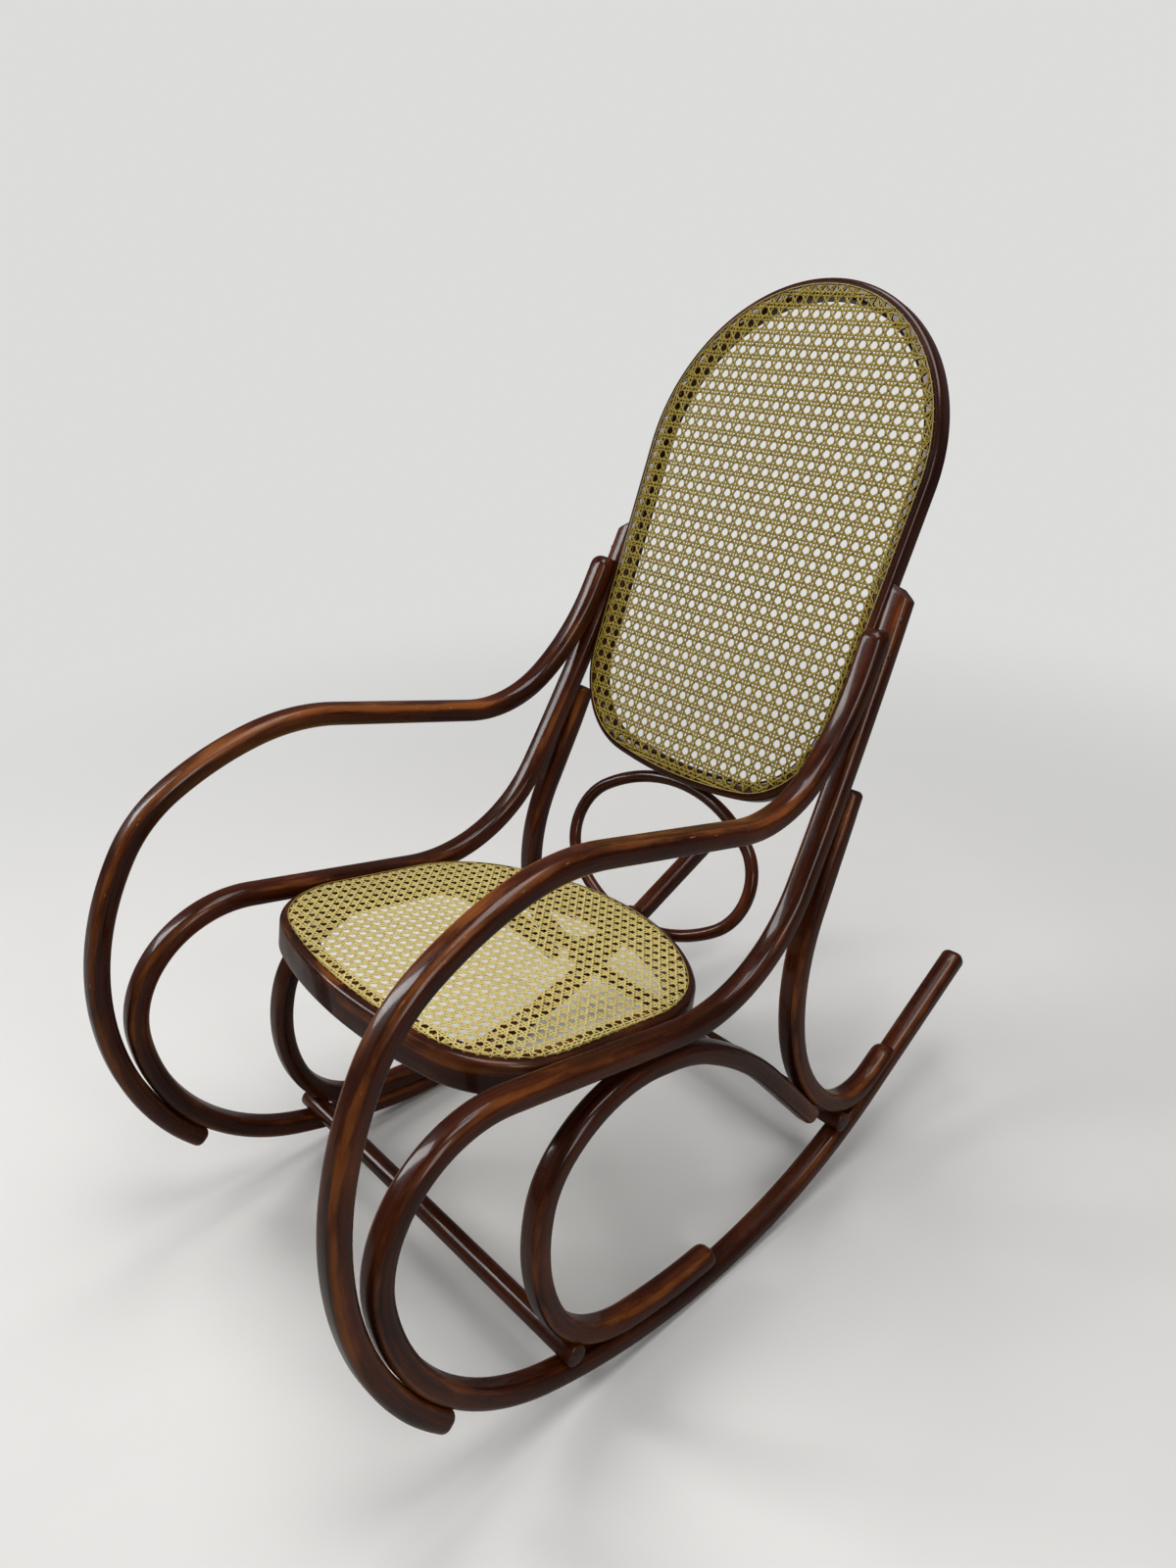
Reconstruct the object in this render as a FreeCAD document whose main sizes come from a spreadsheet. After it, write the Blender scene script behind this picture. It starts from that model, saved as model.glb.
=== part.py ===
import FreeCAD, Part
import math
import os
import Sketcher
from FreeCAD import Placement, Rotation, Vector

# Bentwood rocking chair
# Steam-bent round-cornered rods carry a cane seat and a cane back. Front faces -Y, Z is up,
# X runs across the chair and the chair is mirror-symmetric about X = 0.
# All sizes are millimetres and degrees.

doc = FreeCAD.newDocument("rocking_chair")
sheet = doc.addObject("Spreadsheet::Sheet", "Sizes")

SIZES = [
    # side bow: runner, front curl, seat rail and upright bent from one rod
    ("bow_width", 28.5), ("bow_depth", 24.5), ("bow_corner", 5.2),
    ("bottom_reach", -16.0), ("bottom_height", 14.2), ("runner_radius", 668.0),
    ("runner_front_sweep", 18.93), ("runner_rear_sweep", 28.97), ("tail_length", 225.4),
    ("toe_radius", 252.0), ("toe_sweep", 67.7), ("curl_radius", 126.0), ("curl_sweep", 104.8),
    ("rail_length", 216.5), ("lap_radius", 188.0), ("lap_sweep", 69.4),
    ("upright_radius", 3500.0), ("upright_sweep", 5.3),
    # how the two side frames stand: half the gauge, inward lean, toe-in
    ("half_gauge", 246.9), ("lean_angle", 2.23), ("toe_angle", 1.74),
    # arm, loop and leg are bent from a slightly lighter rod
    ("rod_width", 28.5), ("rod_depth", 24.0), ("rod_corner", 5.2), ("end_round", 4.0),
    ("arm_foot_angle", 14.8), ("arm_foot_start", 43.0), ("arm_front_radius", 345.0),
    ("arm_front_sweep", 60.3),
    ("arm_shoulder_radius", 164.0), ("arm_shoulder_sweep", 29.5),
    ("armrest_reach", -124.0), ("armrest_height", 595.0), ("armrest_length", 186.0),
    ("armrest_slope", 14.0),
    ("arm_top_drop", 30.0), ("arm_top_length", 50.0),
    ("loop_foot_reach", 32.0), ("loop_foot_sweep", 12.2), ("loop_bend_radius", 130.7),
    ("loop_bend_sweep", 61.2),
    ("loop_rail_place", 202.0), ("loop_rail_length", 16.0), ("loop_crown_radius", 150.0),
    ("loop_crown_front", 52.8), ("loop_end_reach", 111.6), ("loop_end_height", 225.6),
    ("loop_end_heading", 50.9),
    ("loop_end_length", 124.0), ("loop_end_depth", 19.8), ("loop_taper_length", 80.0),
    ("leg_foot_reach", 361.0), ("leg_foot_length", 38.6), ("leg_foot_rise", 14.0),
    ("leg_sole_angle", 0.5), ("leg_bend_radius", 88.0),
    ("leg_bend_sweep", 70.0), ("leg_top_reach", 180.8), ("leg_top_height", 412.0),
    ("leg_top_length", 137.8),
    ("leg_top_heading", 62.8), ("leg_end_depth", 17.0), ("leg_taper_length", 100.0),
    # round stretchers that lie on the runners
    ("stretcher_diameter", 24.0), ("front_stretcher_angle", 17.0), ("rear_stretcher_angle", 23.6),
    ("front_stretcher_half", 266.0), ("rear_stretcher_half", 252.0), ("front_stretcher_lift", 0.9),
    ("rear_stretcher_lift", 0.35),
    # seat frame
    ("seat_front_reach", -281.0), ("seat_front_height", 414.6), ("seat_slope", 10.2),
    ("seat_length", 407.0),
    ("seat_half_width", 222.0), ("seat_rim", 29.0), ("seat_height", 37.0), ("seat_corner", 4.0),
    ("seat_front_radius", 560.0), ("seat_corner_radius", 111.0),
    ("seat_side_length", 114.0), ("seat_side_heading", 91.4),
    # back frame
    ("back_half_width", 196.5), ("back_length", 600.0), ("back_rim", 22.0), ("back_depth", 22.5),
    ("back_corner", 5.0), ("back_tilt", 24.5), ("back_foot_reach", 199.0), ("back_foot_height", 484.0),
    ("back_foot_radius", 625.0), ("back_foot_sweep", 9.2), ("back_side_start", 125.0),
    ("back_side_length", 262.0), ("back_side_heading", 88.2),
    # cane sheets, their border strips and the oval between seat and back
    ("cane_thickness", 1.6), ("cane_margin", 6.5), ("cane_pitch", 42.0), ("cane_gap", 25.0),
    ("binder_width", 4.0), ("binder_thickness", 1.8),
    ("oval_diameter", 15.0), ("oval_corner", 4.3), ("oval_half_width", 145.0), ("oval_half_height", 91.0),
    ("oval_ratio", 0.5),
    # wood screws
    ("screw_diameter", 4.5), ("screw_head", 9.0), ("screw_head_depth", 2.2), ("screw_fit", 0.15),
    ("screw_sink", 0.6),
    # pieces that touch on a curved face keep this distance
    ("seat_gap", 0.3),
]
for row, (alias, value) in enumerate(SIZES, start=1):
    sheet.set(f"A{row}", alias)
    sheet.set(f"B{row}", str(value))
    sheet.setAlias(f"B{row}", alias)
doc.recompute()


def size(alias):
    return float(sheet.get(alias))


# Poses along a bent rod: a place in the side plane (reach Y, height Z) and a heading in degrees

def arc_from(pose, radius, sweep):
    """The pose after an arc; a positive sweep turns left."""
    reach, height, heading = pose
    side = 1 if sweep > 0 else -1
    first = math.radians(heading - 90 * side)
    last = first + math.radians(sweep)
    centre = (reach - radius * math.cos(first), height - radius * math.sin(first))
    return (centre[0] + radius * math.cos(last), centre[1] + radius * math.sin(last), heading + sweep)


def line_from(pose, length):
    reach, height, heading = pose
    turn = math.radians(heading)
    return (reach + length * math.cos(turn), height + length * math.sin(turn), heading)


def beside(pose, distance):
    """The pose moved to its left by a distance, heading unchanged."""
    reach, height, heading = pose
    turn = math.radians(heading + 90)
    return (reach + distance * math.cos(turn), height + distance * math.sin(turn), heading)


def follow(pose, bends):
    """The poses after each bend; a bend is ("line", length) or ("arc", radius, sweep)."""
    poses = [pose]
    for bend in bends:
        if bend[0] == "line":
            poses.append(line_from(poses[-1], bend[1]))
        else:
            poses.append(arc_from(poses[-1], bend[1], bend[2]))
    return poses


def turned(pose):
    return (pose[0], pose[1], pose[2] + 180)


def biarc(start, end, ratio=1.0):
    """Two tangent arcs that lead from one pose to another."""
    p0, p1 = Vector(start[0], start[1], 0), Vector(end[0], end[1], 0)
    a0, a1 = math.radians(start[2]), math.radians(end[2])
    t0, t1 = Vector(math.cos(a0), math.sin(a0), 0), Vector(math.cos(a1), math.sin(a1), 0)
    chord = p1 - p0
    square = 2 * ratio * (t0.dot(t1) - 1)
    linear = -2 * chord.dot(t0 * ratio + t1)
    constant = chord.dot(chord)
    if abs(square) < 1e-9:
        second = -constant / linear
    else:
        root = math.sqrt(linear * linear - 4 * square * constant)
        options = [(-linear + root) / (2 * square), (-linear - root) / (2 * square)]
        second = min(value for value in options if value > 0)
    first = ratio * second
    q0, q1 = p0 + t0 * first, p1 - t1 * second
    middle = (q1 - q0).normalize()
    bends = []
    for before, after, reach in ((t0, middle, first), (middle, t1, second)):
        sweep = math.atan2(before.cross(after).z, before.dot(after))
        if abs(sweep) < 1e-6:
            bends.append(("line", 2 * reach))
        else:
            bends.append(("arc", reach / math.tan(abs(sweep) / 2), math.degrees(sweep)))
    return bends


# Sketches and bodies

def origin_plane(body, role):
    return [feature for feature in body.Origin.OriginFeatures if feature.Role == role][0]


def add_arc(sketch, pose, radius, sweep):
    """Adds an arc and returns its index and which of its ends come first and last along the rod."""
    side = 1 if sweep > 0 else -1
    first = math.radians(pose[2] - 90 * side)
    last = first + math.radians(sweep)
    centre = Vector(pose[0] - radius * math.cos(first), pose[1] - radius * math.sin(first), 0)
    circle = Part.Circle(centre, Vector(0, 0, 1), radius)
    if side > 0:
        return sketch.addGeometry(Part.ArcOfCircle(circle, first, last), False), 1, 2
    return sketch.addGeometry(Part.ArcOfCircle(circle, last, first), False), 2, 1


def spine_sketch(body, name, pose, bends, bound):
    """A rod's centre line in the side plane. bound maps a bend's number to the cells of its sizes."""
    sketch = body.newObject("Sketcher::SketchObject", name)
    sketch.AttachmentSupport = [(origin_plane(body, "YZ_Plane"), "")]
    sketch.MapMode = "FlatFace"
    before = None
    for number, bend in enumerate(bends):
        after = follow(pose, [bend])[1]
        if bend[0] == "line":
            edge = Part.LineSegment(Vector(pose[0], pose[1], 0), Vector(after[0], after[1], 0))
            index, first, last = sketch.addGeometry(edge, False), 1, 2
        else:
            index, first, last = add_arc(sketch, pose, bend[1], bend[2])
        if before is None:
            sketch.addConstraint(Sketcher.Constraint("DistanceX", -1, 1, index, first, pose[0]))
            sketch.addConstraint(Sketcher.Constraint("DistanceY", -1, 1, index, first, pose[1]))
            if bend[0] == "line":
                sketch.addConstraint(Sketcher.Constraint("Angle", index, math.radians(pose[2])))
        else:
            sketch.addConstraint(Sketcher.Constraint("Tangent", before[0], before[1], index, first))
        cells = bound.get(number, ())
        if bend[0] == "line":
            place = sketch.addConstraint(Sketcher.Constraint("Distance", index, bend[1]))
            if cells:
                sketch.setExpression(f"Constraints[{place}]", f"Sizes.{cells[0]}")
        else:
            place = sketch.addConstraint(Sketcher.Constraint("Radius", index, bend[1]))
            if cells and cells[0]:
                sketch.setExpression(f"Constraints[{place}]", f"Sizes.{cells[0]}")
            place = sketch.addConstraint(Sketcher.Constraint("Angle", index, math.radians(abs(bend[2]))))
            if len(cells) > 1 and cells[1]:
                sketch.setExpression(f"Constraints[{place}]", f"Sizes.{cells[1]} * 1 deg")
        before = (index, last)
        pose = after
    return sketch


def section_sketch(body, name, pose, width, depth, corner, cells=None):
    """A rectangle with its corners taken off, square to the rod at a pose."""
    sketch = body.newObject("Sketcher::SketchObject", name)
    sketch.AttachmentSupport = [(origin_plane(body, "XY_Plane"), "")]
    sketch.MapMode = "FlatFace"
    sketch.AttachmentOffset = Placement(Vector(0, pose[0], pose[1]), Rotation(Vector(1, 0, 0), pose[2] - 90))
    x, y = width / 2, depth / 2
    corners = [(-x + corner, y), (x - corner, y), (x, y - corner), (x, -y + corner),
               (x - corner, -y), (-x + corner, -y), (-x, -y + corner), (-x, y - corner)]
    points = [Vector(px, py, 0) for px, py in corners]
    for k in range(8):
        sketch.addGeometry(Part.LineSegment(points[k], points[(k + 1) % 8]), False)
    for k in range(8):
        sketch.addConstraint(Sketcher.Constraint("Coincident", k, 2, (k + 1) % 8, 1))
    for flat, axis in ((0, -2), (4, -2), (2, -1), (6, -1)):
        sketch.addConstraint(Sketcher.Constraint("Symmetric", flat, 1, flat, 2, axis))
    sketch.addConstraint(Sketcher.Constraint("Equal", 0, 4))
    sketch.addConstraint(Sketcher.Constraint("Equal", 2, 6))
    wide, deep, cut_off = cells or (None, None, None)
    for kind, first, value, formula in (
        ("DistanceY", (-1, 1, 0, 1), y, f"Sizes.{deep} / 2"),
        ("DistanceY", (4, 1, -1, 1), y, f"Sizes.{deep} / 2"),
        ("DistanceX", (-1, 1, 2, 1), x, f"Sizes.{wide} / 2"),
        ("DistanceX", (6, 1, -1, 1), x, f"Sizes.{wide} / 2"),
        ("DistanceX", (0, 1, 0, 2), width - 2 * corner, f"Sizes.{wide} - 2 * Sizes.{cut_off}"),
        ("DistanceY", (2, 2, 2, 1), depth - 2 * corner, f"Sizes.{deep} - 2 * Sizes.{cut_off}"),
    ):
        place = sketch.addConstraint(Sketcher.Constraint(kind, *first, value))
        if cells:
            sketch.setExpression(f"Constraints[{place}]", formula)
    return sketch


def bent_rod(name, pose, bends, sections, bound=None):
    """A body swept along its centre line.

    sections holds (number of bends before it, width, depth, corner, cells).
    """
    body = doc.addObject("PartDesign::Body", name)
    spine = spine_sketch(body, name + "_spine", pose, bends, bound or {})
    poses = follow(pose, bends)
    outlines = []
    for number, (at, width, depth, corner, cells) in enumerate(sections):
        label = f"{name}_section_{number}"
        outlines.append(section_sketch(body, label, poses[at], width, depth, corner, cells))
    doc.recompute()
    pipe = body.newObject("PartDesign::AdditivePipe", name + "_sweep")
    pipe.Profile = outlines[0]
    pipe.Spine = (spine, [f"Edge{k + 1}" for k in range(len(bends))])
    pipe.Mode = "Binormal"
    pipe.Binormal = Vector(1, 0, 0)
    if len(outlines) > 1:
        pipe.Transformation = "Multisection"
        pipe.Sections = outlines[1:]
    for sketch in [spine] + outlines:
        sketch.Visibility = False
    doc.recompute()
    return body, pipe, poses


def ease_end(body, base, name, pose, distance):
    """Takes the sharp edges off the flat end that lies at a pose."""
    place = Vector(0, pose[0], pose[1])
    face = min(base.Shape.Faces, key=lambda item: item.CenterOfMass.distanceToPoint(place))
    names = []
    for number, edge in enumerate(base.Shape.Edges, start=1):
        if any(edge.isSame(other) for other in face.Edges):
            names.append(f"Edge{number}")
    easing = body.newObject("PartDesign::Chamfer", name)
    easing.Base = (base, names)
    easing.Size = distance
    body.Tip = easing
    base.Visibility = False
    doc.recompute()
    return easing


def mirror_half(body, pipe, name):
    """Completes a ring from its half about the plane across which it is symmetric."""
    mirrored = body.newObject("PartDesign::Mirrored", name)
    mirrored.Originals = [pipe]
    mirrored.MirrorPlane = (origin_plane(body, "XZ_Plane"), [""])
    body.Tip = mirrored
    doc.recompute()
    return mirrored


# Where things stand before the chair is set on the floor

leaves = []


def put(item, placement):
    item.Placement = placement
    leaves.append((item, placement))
    return item


lean = Rotation(Vector(0, 1, 0), -size("lean_angle"))
toe = Rotation(Vector(0, 0, 1), size("toe_angle"))
SIDE = Placement(Vector(size("half_gauge"), 0, 0), lean * toe)


def tilted(reach, height, along):
    """A frame whose Y runs across the chair, whose Z runs along a direction and whose X is its normal."""
    across = Vector(1, 0, 0)
    return Placement(Vector(0, reach, height), Rotation(across.cross(along), across, along, "XYZ"))


slope = math.radians(size("seat_slope"))
seat_along = Vector(0, math.cos(slope), -math.sin(slope))
SEAT = tilted(size("seat_front_reach"), size("seat_front_height"), seat_along)
tilt = math.radians(size("back_tilt"))
back_along = Vector(0, math.sin(tilt), math.cos(tilt))
BACK = tilted(size("back_foot_reach"), size("back_foot_height"), back_along)

# The oval touches the lower back edge of the back frame and the rear wall of the seat frame
oval_half = size("oval_diameter") / 2
top_touch, low_touch = 1.04 * oval_half + 0.2, 1.08 * oval_half + 0.2
lower_edge = Vector((size("back_corner") - size("back_depth")) / 2, 0, size("back_corner") / 2)
oval_top = BACK.multVec(lower_edge + Vector(-1, 0, -1).normalize() * top_touch)
rear_wall = SEAT.multVec(Vector(0, 0, size("seat_length")))
wall_normal = SEAT.Rotation.multVec(Vector(0, 0, 1))
fall = (low_touch - (oval_top - rear_wall).dot(wall_normal)) / (2 * size("oval_half_height"))
lean_back = slope - math.asin(fall)
OVAL = tilted(oval_top.y, oval_top.z, Vector(0, math.sin(lean_back), math.cos(lean_back)))


# Side bow

gap = size("seat_gap")
bow_half, rod_half = size("bow_depth") / 2, size("rod_depth") / 2
touch = bow_half + rod_half + gap
pivot = (size("bottom_reach"), size("bottom_height") + size("runner_radius"))
runner = size("runner_radius")


def on_runner(angle, inward):
    """A pose above the runner's centre line, heading to the front. The angle counts from its low point."""
    turn = math.radians(angle)
    radius = runner - inward
    return (pivot[0] + radius * math.sin(turn), pivot[1] - radius * math.cos(turn), angle - 180)


tail = turned(line_from(turned(on_runner(size("runner_rear_sweep"), 0)), size("tail_length")))
tail = (tail[0], tail[1], size("runner_rear_sweep") - 180)
bow_bends = [
    ("line", size("tail_length")),
    ("arc", runner, -(size("runner_rear_sweep") + size("runner_front_sweep"))),
    ("arc", size("toe_radius"), -size("toe_sweep")),
    ("arc", size("curl_radius"), -size("curl_sweep")),
    ("line", size("rail_length")),
    ("arc", size("lap_radius"), size("lap_sweep")),
    ("arc", size("upright_radius"), size("upright_sweep")),
]
bow_bound = {0: ("tail_length",), 1: ("runner_radius", None), 2: ("toe_radius", "toe_sweep"),
             3: ("curl_radius", "curl_sweep"), 4: ("rail_length",), 5: ("lap_radius", "lap_sweep"),
             6: ("upright_radius", "upright_sweep")}
bow_cells = ("bow_width", "bow_depth", "bow_corner")
bow_section = [(0, size("bow_width"), size("bow_depth"), size("bow_corner"), bow_cells)]
bow, bow_pipe, bow_poses = bent_rod("bow_rod", tail, bow_bends, bow_section, bow_bound)
bow_eased = ease_end(bow, bow_pipe, "bow_tail_end", bow_poses[0], size("end_round"))
ease_end(bow, bow_eased, "bow_top_end", bow_poses[-1], size("end_round"))
put(bow, SIDE)
rod_cells = ("rod_width", "rod_depth", "rod_corner")
rod_section = [(0, size("rod_width"), size("rod_depth"), size("rod_corner"), rod_cells)]


# Arm: lies on the front curl, swings over the armrest and ends on the front of the upright

toe_start = bow_poses[2]
toe_centre = beside(toe_start, -size("toe_radius"))
foot_turn = math.radians(180 + size("arm_foot_start"))
foot_radius = size("toe_radius") + touch
arm_foot = (toe_centre[0] + foot_radius * math.cos(foot_turn),
            toe_centre[1] + foot_radius * math.sin(foot_turn), 90 + size("arm_foot_start"))
upright_end = bow_poses[7]
upright_centre = beside(upright_end, size("upright_radius"))
top_radius = size("upright_radius") - touch
top_turn = -math.degrees((size("arm_top_drop") + size("arm_top_length")) / size("upright_radius"))
arm_top = beside(turned(arc_from(turned(upright_end), size("upright_radius"), top_turn)), touch)
armrest = (size("armrest_reach"), size("armrest_height"), -size("armrest_slope"))
arm_bends = [("arc", foot_radius, -size("arm_foot_angle")),
             ("arc", size("arm_front_radius"), -size("arm_front_sweep")),
             ("arc", size("arm_shoulder_radius"), -size("arm_shoulder_sweep"))]
arm_bends += biarc(follow(arm_foot, arm_bends)[-1], armrest, 1.0)
arm_bends += [("line", size("armrest_length"))]
arm_bends += biarc(line_from(armrest, size("armrest_length")), arm_top, 1.0)
arm_bends += [("arc", top_radius, math.degrees(size("arm_top_length") / top_radius))]
arm, arm_pipe, arm_poses = bent_rod("arm_rod", arm_foot, arm_bends, rod_section,
                                    {1: ("arm_front_radius", None)})
arm_eased = ease_end(arm, arm_pipe, "arm_foot_end", arm_poses[0], size("end_round"))
ease_end(arm, arm_eased, "arm_top_end", arm_poses[-1], size("end_round"))
put(arm, SIDE)


# Front leg loop: foot on the runner, crown under the seat rail, rear end down beside the rear leg

reach = math.degrees(math.asin(size("loop_foot_reach") / runner))
loop_foot = on_runner(reach, touch)
loop_bends = [("arc", runner - touch, -size("loop_foot_sweep")),
              ("arc", size("loop_bend_radius"), -size("loop_bend_sweep"))]
rail_pose = line_from(bow_poses[4], size("loop_rail_place") - size("loop_rail_length") / 2)
crown = beside(rail_pose, -touch)
crown_start = arc_from(turned(crown), size("loop_crown_radius"), size("loop_crown_front"))
crown_start = (crown_start[0], crown_start[1], crown[2] + size("loop_crown_front"))
loop_bends += biarc(follow(loop_foot, loop_bends)[-1], crown_start, 2.38)
loop_bends += [("arc", size("loop_crown_radius"), -size("loop_crown_front")),
               ("line", size("loop_rail_length"))]
loop_end = (size("loop_end_reach"), size("loop_end_height"), -size("loop_end_heading") - 360)
loop_bends += biarc(follow(loop_foot, loop_bends)[-1], loop_end, 0.5)
loop_bends += [("line", size("loop_end_length"))]
loop, loop_pipe, loop_poses = bent_rod("loop_rod", loop_foot, loop_bends, rod_section,
                                       {1: ("loop_bend_radius", "loop_bend_sweep")})
loop_eased = ease_end(loop, loop_pipe, "loop_foot_end", loop_poses[0], size("end_round"))
ease_end(loop, loop_eased, "loop_top_end", loop_poses[-1], size("end_round"))
put(loop, SIDE)


# Rear leg: foot on the runner's tail, upper end on the back of the upright

tail_turn = math.radians(tail[2])
along_tail = (tail[0] - size("leg_foot_reach")) / abs(math.cos(tail_turn))
leg_foot = beside(line_from(tail, along_tail), -size("leg_foot_rise"))
leg_top = (size("leg_top_reach"), size("leg_top_height"), size("leg_top_heading") - 360)
leg_bends = [("line", size("leg_foot_length")), ("arc", size("leg_bend_radius"), -size("leg_bend_sweep"))]
leg_bends += biarc(follow(leg_foot, leg_bends)[-1], leg_top, 1.0)
leg_bends += [("line", size("leg_top_length"))]
leg, leg_pipe, leg_poses = bent_rod("leg_rod", leg_foot, leg_bends, rod_section,
                                    {0: ("leg_foot_length",), 1: ("leg_bend_radius", "leg_bend_sweep")})
leg_eased = ease_end(leg, leg_pipe, "leg_foot_end", leg_poses[0], size("end_round"))
ease_end(leg, leg_eased, "leg_top_end", leg_poses[-1], size("end_round"))
put(leg, SIDE)

# Stretchers: round bars across the chair, lying on both runners

def across_bar(name, angle, half, lift):
    pose = on_runner(angle, bow_half + size("stretcher_diameter") / 2 + lift)
    bar = doc.addObject("Part::Cylinder", name)
    bar.setExpression("Radius", "Sizes.stretcher_diameter / 2")
    bar.setExpression("Height", f"Sizes.{half} * 2")
    put(bar, Placement(Vector(-size(half), pose[0], pose[1]), Rotation(Vector(0, 1, 0), 90)))
    saddle = doc.addObject("Part::Cylinder", name + "_saddle")
    saddle.setExpression("Radius", "Sizes.stretcher_diameter / 2 + Sizes.seat_gap")
    saddle.setExpression("Height", f"Sizes.{half} * 2 + 20")
    put(saddle, Placement(Vector(-size(half) - 10, pose[0], pose[1]), Rotation(Vector(0, 1, 0), 90)))
    return bar, saddle, pose


front_bar, front_saddle, front_pose = across_bar(
    "front_stretcher_bar", -size("front_stretcher_angle"), "front_stretcher_half",
    size("front_stretcher_lift"))
rear_bar, rear_saddle, rear_pose = across_bar(
    "rear_stretcher_bar", size("rear_stretcher_angle"), "rear_stretcher_half",
    size("rear_stretcher_lift"))


# Seat frame: half its outline from the front centre round to the rear centre

def inset(pose, bends, distance):
    """The same outline moved inward, which is to its left."""
    moved = [bend if bend[0] == "line" else ("arc", bend[1] - distance, bend[2]) for bend in bends]
    return beside(pose, distance), moved


seat_start = (0.0, 0.0, 0.0)
front_radius, corner_radius = size("seat_front_radius"), size("seat_corner_radius")
side_reach = size("seat_half_width") - corner_radius * math.sin(math.radians(size("seat_side_heading")))
front_sweep = math.degrees(math.asin(side_reach / (front_radius - corner_radius)))
seat_bends = [("arc", front_radius, front_sweep),
              ("arc", corner_radius, size("seat_side_heading") - front_sweep),
              ("line", size("seat_side_length"))]
seat_corner_pose = follow(seat_start, seat_bends)[-1]
seat_bends += biarc(seat_corner_pose, (0.0, size("seat_length"), 180.0), 0.62)
pose, bends = inset(seat_start, seat_bends, size("seat_rim") / 2)
seat_cells = ("seat_height", "seat_rim", "seat_corner")
seat_section = [(0, size("seat_height"), size("seat_rim"), size("seat_corner"), seat_cells)]
seat, seat_pipe, seat_poses = bent_rod("seat_ring", pose, bends, seat_section)
mirror_half(seat, seat_pipe, "seat_ring_whole")
SEAT_RING = SEAT * Placement(Vector(-size("seat_height") / 2, 0, 0), Rotation())
put(seat, SEAT_RING)


# Back frame: half its outline from the bottom centre round the arch to the top centre

back_start = (0.0, 0.0, 0.0)
back_bends = [("arc", size("back_foot_radius"), size("back_foot_sweep"))]
back_side = (size("back_half_width"), size("back_side_start"), size("back_side_heading"))
back_bends += biarc(follow(back_start, back_bends)[-1], back_side, 1.0)
back_bends += [("line", size("back_side_length"))]
back_bends += biarc(line_from(back_side, size("back_side_length")), (0.0, size("back_length"), 180.0), 1.0)
pose, bends = inset(back_start, back_bends, size("back_rim") / 2)
back_cells = ("back_depth", "back_rim", "back_corner")
back_section = [(0, size("back_depth"), size("back_rim"), size("back_corner"), back_cells)]
back, back_pipe, back_poses = bent_rod("back_ring", pose, bends, back_section)
mirror_half(back, back_pipe, "back_ring_whole")
put(back, BACK)


# Oval loop between seat and back, bent from a thin round rod

half_height = size("oval_half_height")
oval_start = (0.0, -2 * half_height, 0.0)
oval_side = (size("oval_half_width"), -half_height, 90.0)
oval_bends = biarc(oval_start, oval_side, 1 / size("oval_ratio"))
oval_bends += biarc(oval_side, (0.0, 0.0, 180.0), size("oval_ratio"))
oval_cells = ("oval_diameter", "oval_diameter", "oval_corner")
oval_section = [(0, size("oval_diameter"), size("oval_diameter"), size("oval_corner"), oval_cells)]
oval, oval_pipe, oval_poses = bent_rod("oval_rod", oval_start, oval_bends, oval_section)
mirror_half(oval, oval_pipe, "oval_rod_whole")
put(oval, OVAL)


# Cane sheets: one flat sheet each, with the gaps of the weave cut through, and the strip along the edge

def outline_edges(pose, bends):
    """The closed outline that a half outline and its mirror image make, in the ring's own plane."""
    edges = []
    for bend in bends:
        after = follow(pose, [bend])[1]
        here, there = Vector(0, pose[0], pose[1]), Vector(0, after[0], after[1])
        if bend[0] == "line":
            edges.append(Part.LineSegment(here, there).toShape())
        else:
            middle = follow(pose, [("arc", bend[1], bend[2] / 2)])[1]
            edges.append(Part.Arc(here, Vector(0, middle[0], middle[1]), there).toShape())
        pose = after
    other = [edge.mirror(Vector(0, 0, 0), Vector(0, 1, 0)) for edge in edges]
    return Part.Wire(Part.__sortEdges__(edges + other))


def gap_ring(y, z, width):
    """A gap of the weave, square where the finer weave has eight sides."""
    half = width / 2
    corners = [(half, -half), (half, half), (-half, half), (-half, -half)]
    points = [Vector(0, y + a, z + b) for a, b in corners]
    return Part.makePolygon(points + points[:1])


def cane_sheet(name, start, bends, placement):
    margin = size("cane_margin")
    outer = outline_edges(*inset(start, bends, margin))
    inner = Part.Face(outline_edges(*inset(start, bends, size("seat_rim") + 1.5)))
    box = inner.BoundBox
    pitch, width = size("cane_pitch"), size("cane_gap")
    columns, rows = int(box.YMax / pitch) + 1, int(box.ZLength / pitch) + 1
    rings = []
    middle = (box.ZMin + box.ZMax) / 2
    for column in range(-columns, columns + 1):
        for row in range(-rows, rows + 1):
            y, z = column * pitch, middle + (row + 0.5 * (rows % 2)) * pitch
            reach = width / 2
            probes = [Vector(0, y + a * reach, z + b * reach) for a in (-1, 1) for b in (-1, 1)]
            if all(inner.isInside(probe, 0.01, True) for probe in probes):
                rings.append(gap_ring(y, z, width))
    face = doc.addObject("Part::Feature", name + "_face")
    face.Shape = Part.makeFace([outer] + rings, "Part::FaceMakerBullseye")
    face.Visibility = False
    sheet_body = doc.addObject("Part::Extrusion", name)
    sheet_body.Base = face
    sheet_body.DirMode = "Custom"
    sheet_body.Dir = Vector(1, 0, 0)
    sheet_body.Solid = True
    sheet_body.setExpression("LengthFwd", "Sizes.cane_thickness")
    put(sheet_body, placement)
    return sheet_body, len(rings)


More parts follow.
